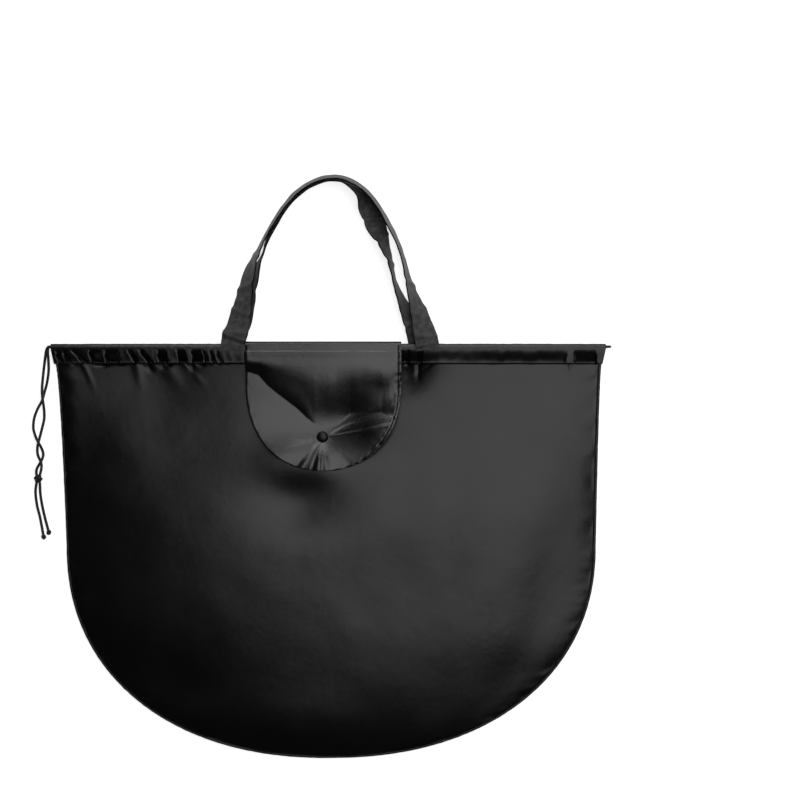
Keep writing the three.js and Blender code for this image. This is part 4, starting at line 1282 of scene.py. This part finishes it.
class HELMETBAG_OT_drawcord(bpy.types.Operator):
    """Make the cord's free ends with their knots, and the stretch in the casings"""

    bl_idname = "helmet_bag.drawcord"
    bl_label = "Drawcord"

    def execute(self, context):
        diameter = trim_settings().cord_diameter
        radius = diameter / 2
        knots = {}
        for node, thick, turned in CORD_KNOTS:
            middle, size = middle_of(node)
            knots[node] = knot(f"{node}_cord", middle, size, radius * thick, turned)
            dress(knots[node], "drawcord", node)
        stretches = (
            ("strand_a", STRAND_A, 170, "drawcord_end_a", "tie_knot"),
            ("strand_b", STRAND_B, 170, "drawcord_end_b", "tie_knot"),
            ("tail_a", TAIL_A, 60, "drawcord_tail_a", "end_knot_a"),
            ("tail_b", TAIL_B, 66, "drawcord_tail_b", "end_knot_b"),
        )
        for name, points, columns, node, end in stretches:
            knotted = Vector(points[-1]).lerp(middle_of(end)[0], INTO_KNOT)
            points = [*points, tuple(knotted)]
            if name.startswith("tail"):
                points = [tuple(Vector(points[0]).lerp(middle_of("tie_knot")[0], INTO_KNOT)), *points]
            piece, length = round_cord(name, points, columns, radius)
            dress(piece, "drawcord", node)
            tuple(points[0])
            [tuple(point) for point in points]
        held = bpy.data.objects["drawcord_held"]
        held.material_slots[0].material = cord_cloth()
        return {"FINISHED"}


# Stage

KEY_PLACE = (0.587, 0.412, 1.6)
KEY_SIZE = 1.908
STRIP_PLACE = (0.1, 2.0, 1.5)
STRIP_AIM = (0.0, 0.2, 0)
STRIP_SIZE = (2.6, 0.3)
WORLD_GLOW = 0.015
SENSOR = 36


def softbox(name, place, aim, size, power):
    light = bpy.data.lights.new(name, "AREA")
    light.shape = "ELLIPSE"
    light.size, light.size_y = size
    light.energy = power
    lamp = bpy.data.objects.new(name, light)
    lamp.location = place
    lamp.rotation_euler = (Vector(aim) - Vector(place)).to_track_quat("-Z", "Y").to_euler()
    lamp.visible_camera = False
    bpy.context.scene.collection.objects.link(lamp)


class HELMETBAG_OT_stage(bpy.types.Operator):
    """Lay the pale floor and set the studio light and the camera"""

    bl_idname = "helmet_bag.stage"
    bl_label = "Stage"

    def execute(self, context):
        settings = stage_settings()
        scene = bpy.context.scene
        floor_bm = bmesh.new()
        bmesh.ops.create_grid(floor_bm, x_segments=2, y_segments=2, size=6.0)
        pale, surface = shader("pale floor", (0.9, 0.9, 0.9), 0.9)
        surface.inputs["Emission Color"].default_value = (1, 1, 1, 1)
        surface.inputs["Emission Strength"].default_value = settings.floor_glow
        floor = new_object("floor", floor_bm, pale, shade=False)

        softbox("key softbox", KEY_PLACE, (*KEY_PLACE[:2], 0), (KEY_SIZE, KEY_SIZE), settings.key_power)
        softbox("top strip", STRIP_PLACE, STRIP_AIM, STRIP_SIZE, settings.key_power)
        world = bpy.data.worlds.new("studio")
        world.use_nodes = True
        sky = world.node_tree.nodes["Background"].inputs
        sky["Color"].default_value = (1, 1, 1, 1)
        sky["Strength"].default_value = WORLD_GLOW
        scene.world = world
        scene.view_settings.view_transform = "Standard"
        camera_data = bpy.data.cameras.new("camera")
        camera_data.sensor_width = SENSOR
        camera_data.lens = SENSOR * settings.camera_height / PHOTO_SIDE
        camera = bpy.data.objects.new("camera", camera_data)
        camera.location = PHOTO_CENTRE + Vector((0, 0, settings.camera_height))
        scene.collection.objects.link(camera)
        scene.camera = camera
        return {"FINISHED"}


class HELMETBAG_PT_panel(bpy.types.Panel):
    """Lists the bag's settings and the operators that make it"""

    bl_idname = "HELMETBAG_PT_panel"
    bl_label = "Helmet Bag"
    bl_space_type = "VIEW_3D"
    bl_region_type = "UI"
    bl_category = "Helmet Bag"

    def draw(self, context):
        for settings in (cloth_settings(), trim_settings(), stage_settings()):
            box = self.layout.box()
            for name in settings.bl_rna.properties.keys():
                if name not in ("rna_type", "name"):
                    box.prop(settings, name)
        for maker in MAKERS:
            self.layout.operator(maker.bl_idname)


GROUPS = {
    "helmet_bag_cloth": HelmetBagCloth,
    "helmet_bag_trim": HelmetBagTrim,
    "helmet_bag_stage": HelmetBagStage,
}
MAKERS = [
    HELMETBAG_OT_stage,
    HELMETBAG_OT_drawcord,
    HELMETBAG_OT_panels,
    HELMETBAG_OT_edge_seam,
    HELMETBAG_OT_casings,
    HELMETBAG_OT_flap,
    HELMETBAG_OT_button,
    HELMETBAG_OT_handles,
]


def register():
    for name, group in GROUPS.items():
        bpy.utils.register_class(group)
        setattr(bpy.types.Scene, name, bpy.props.PointerProperty(type=group))
    for maker in MAKERS:
        bpy.utils.register_class(maker)
    bpy.utils.register_class(HELMETBAG_PT_panel)


def unregister():
    bpy.utils.unregister_class(HELMETBAG_PT_panel)
    for maker in reversed(MAKERS):
        bpy.utils.unregister_class(maker)
    for name, group in GROUPS.items():
        delattr(bpy.types.Scene, name)
        bpy.utils.unregister_class(group)


def main():
    register()
    bpy.ops.helmet_bag.stage()
    bpy.ops.helmet_bag.drawcord()
    bpy.ops.helmet_bag.panels()
    bpy.ops.helmet_bag.edge_seam()
    bpy.ops.helmet_bag.casings()
    bpy.ops.helmet_bag.flap()
    bpy.ops.helmet_bag.button()
    bpy.ops.helmet_bag.handles()


if __name__ == "__main__":
    main()
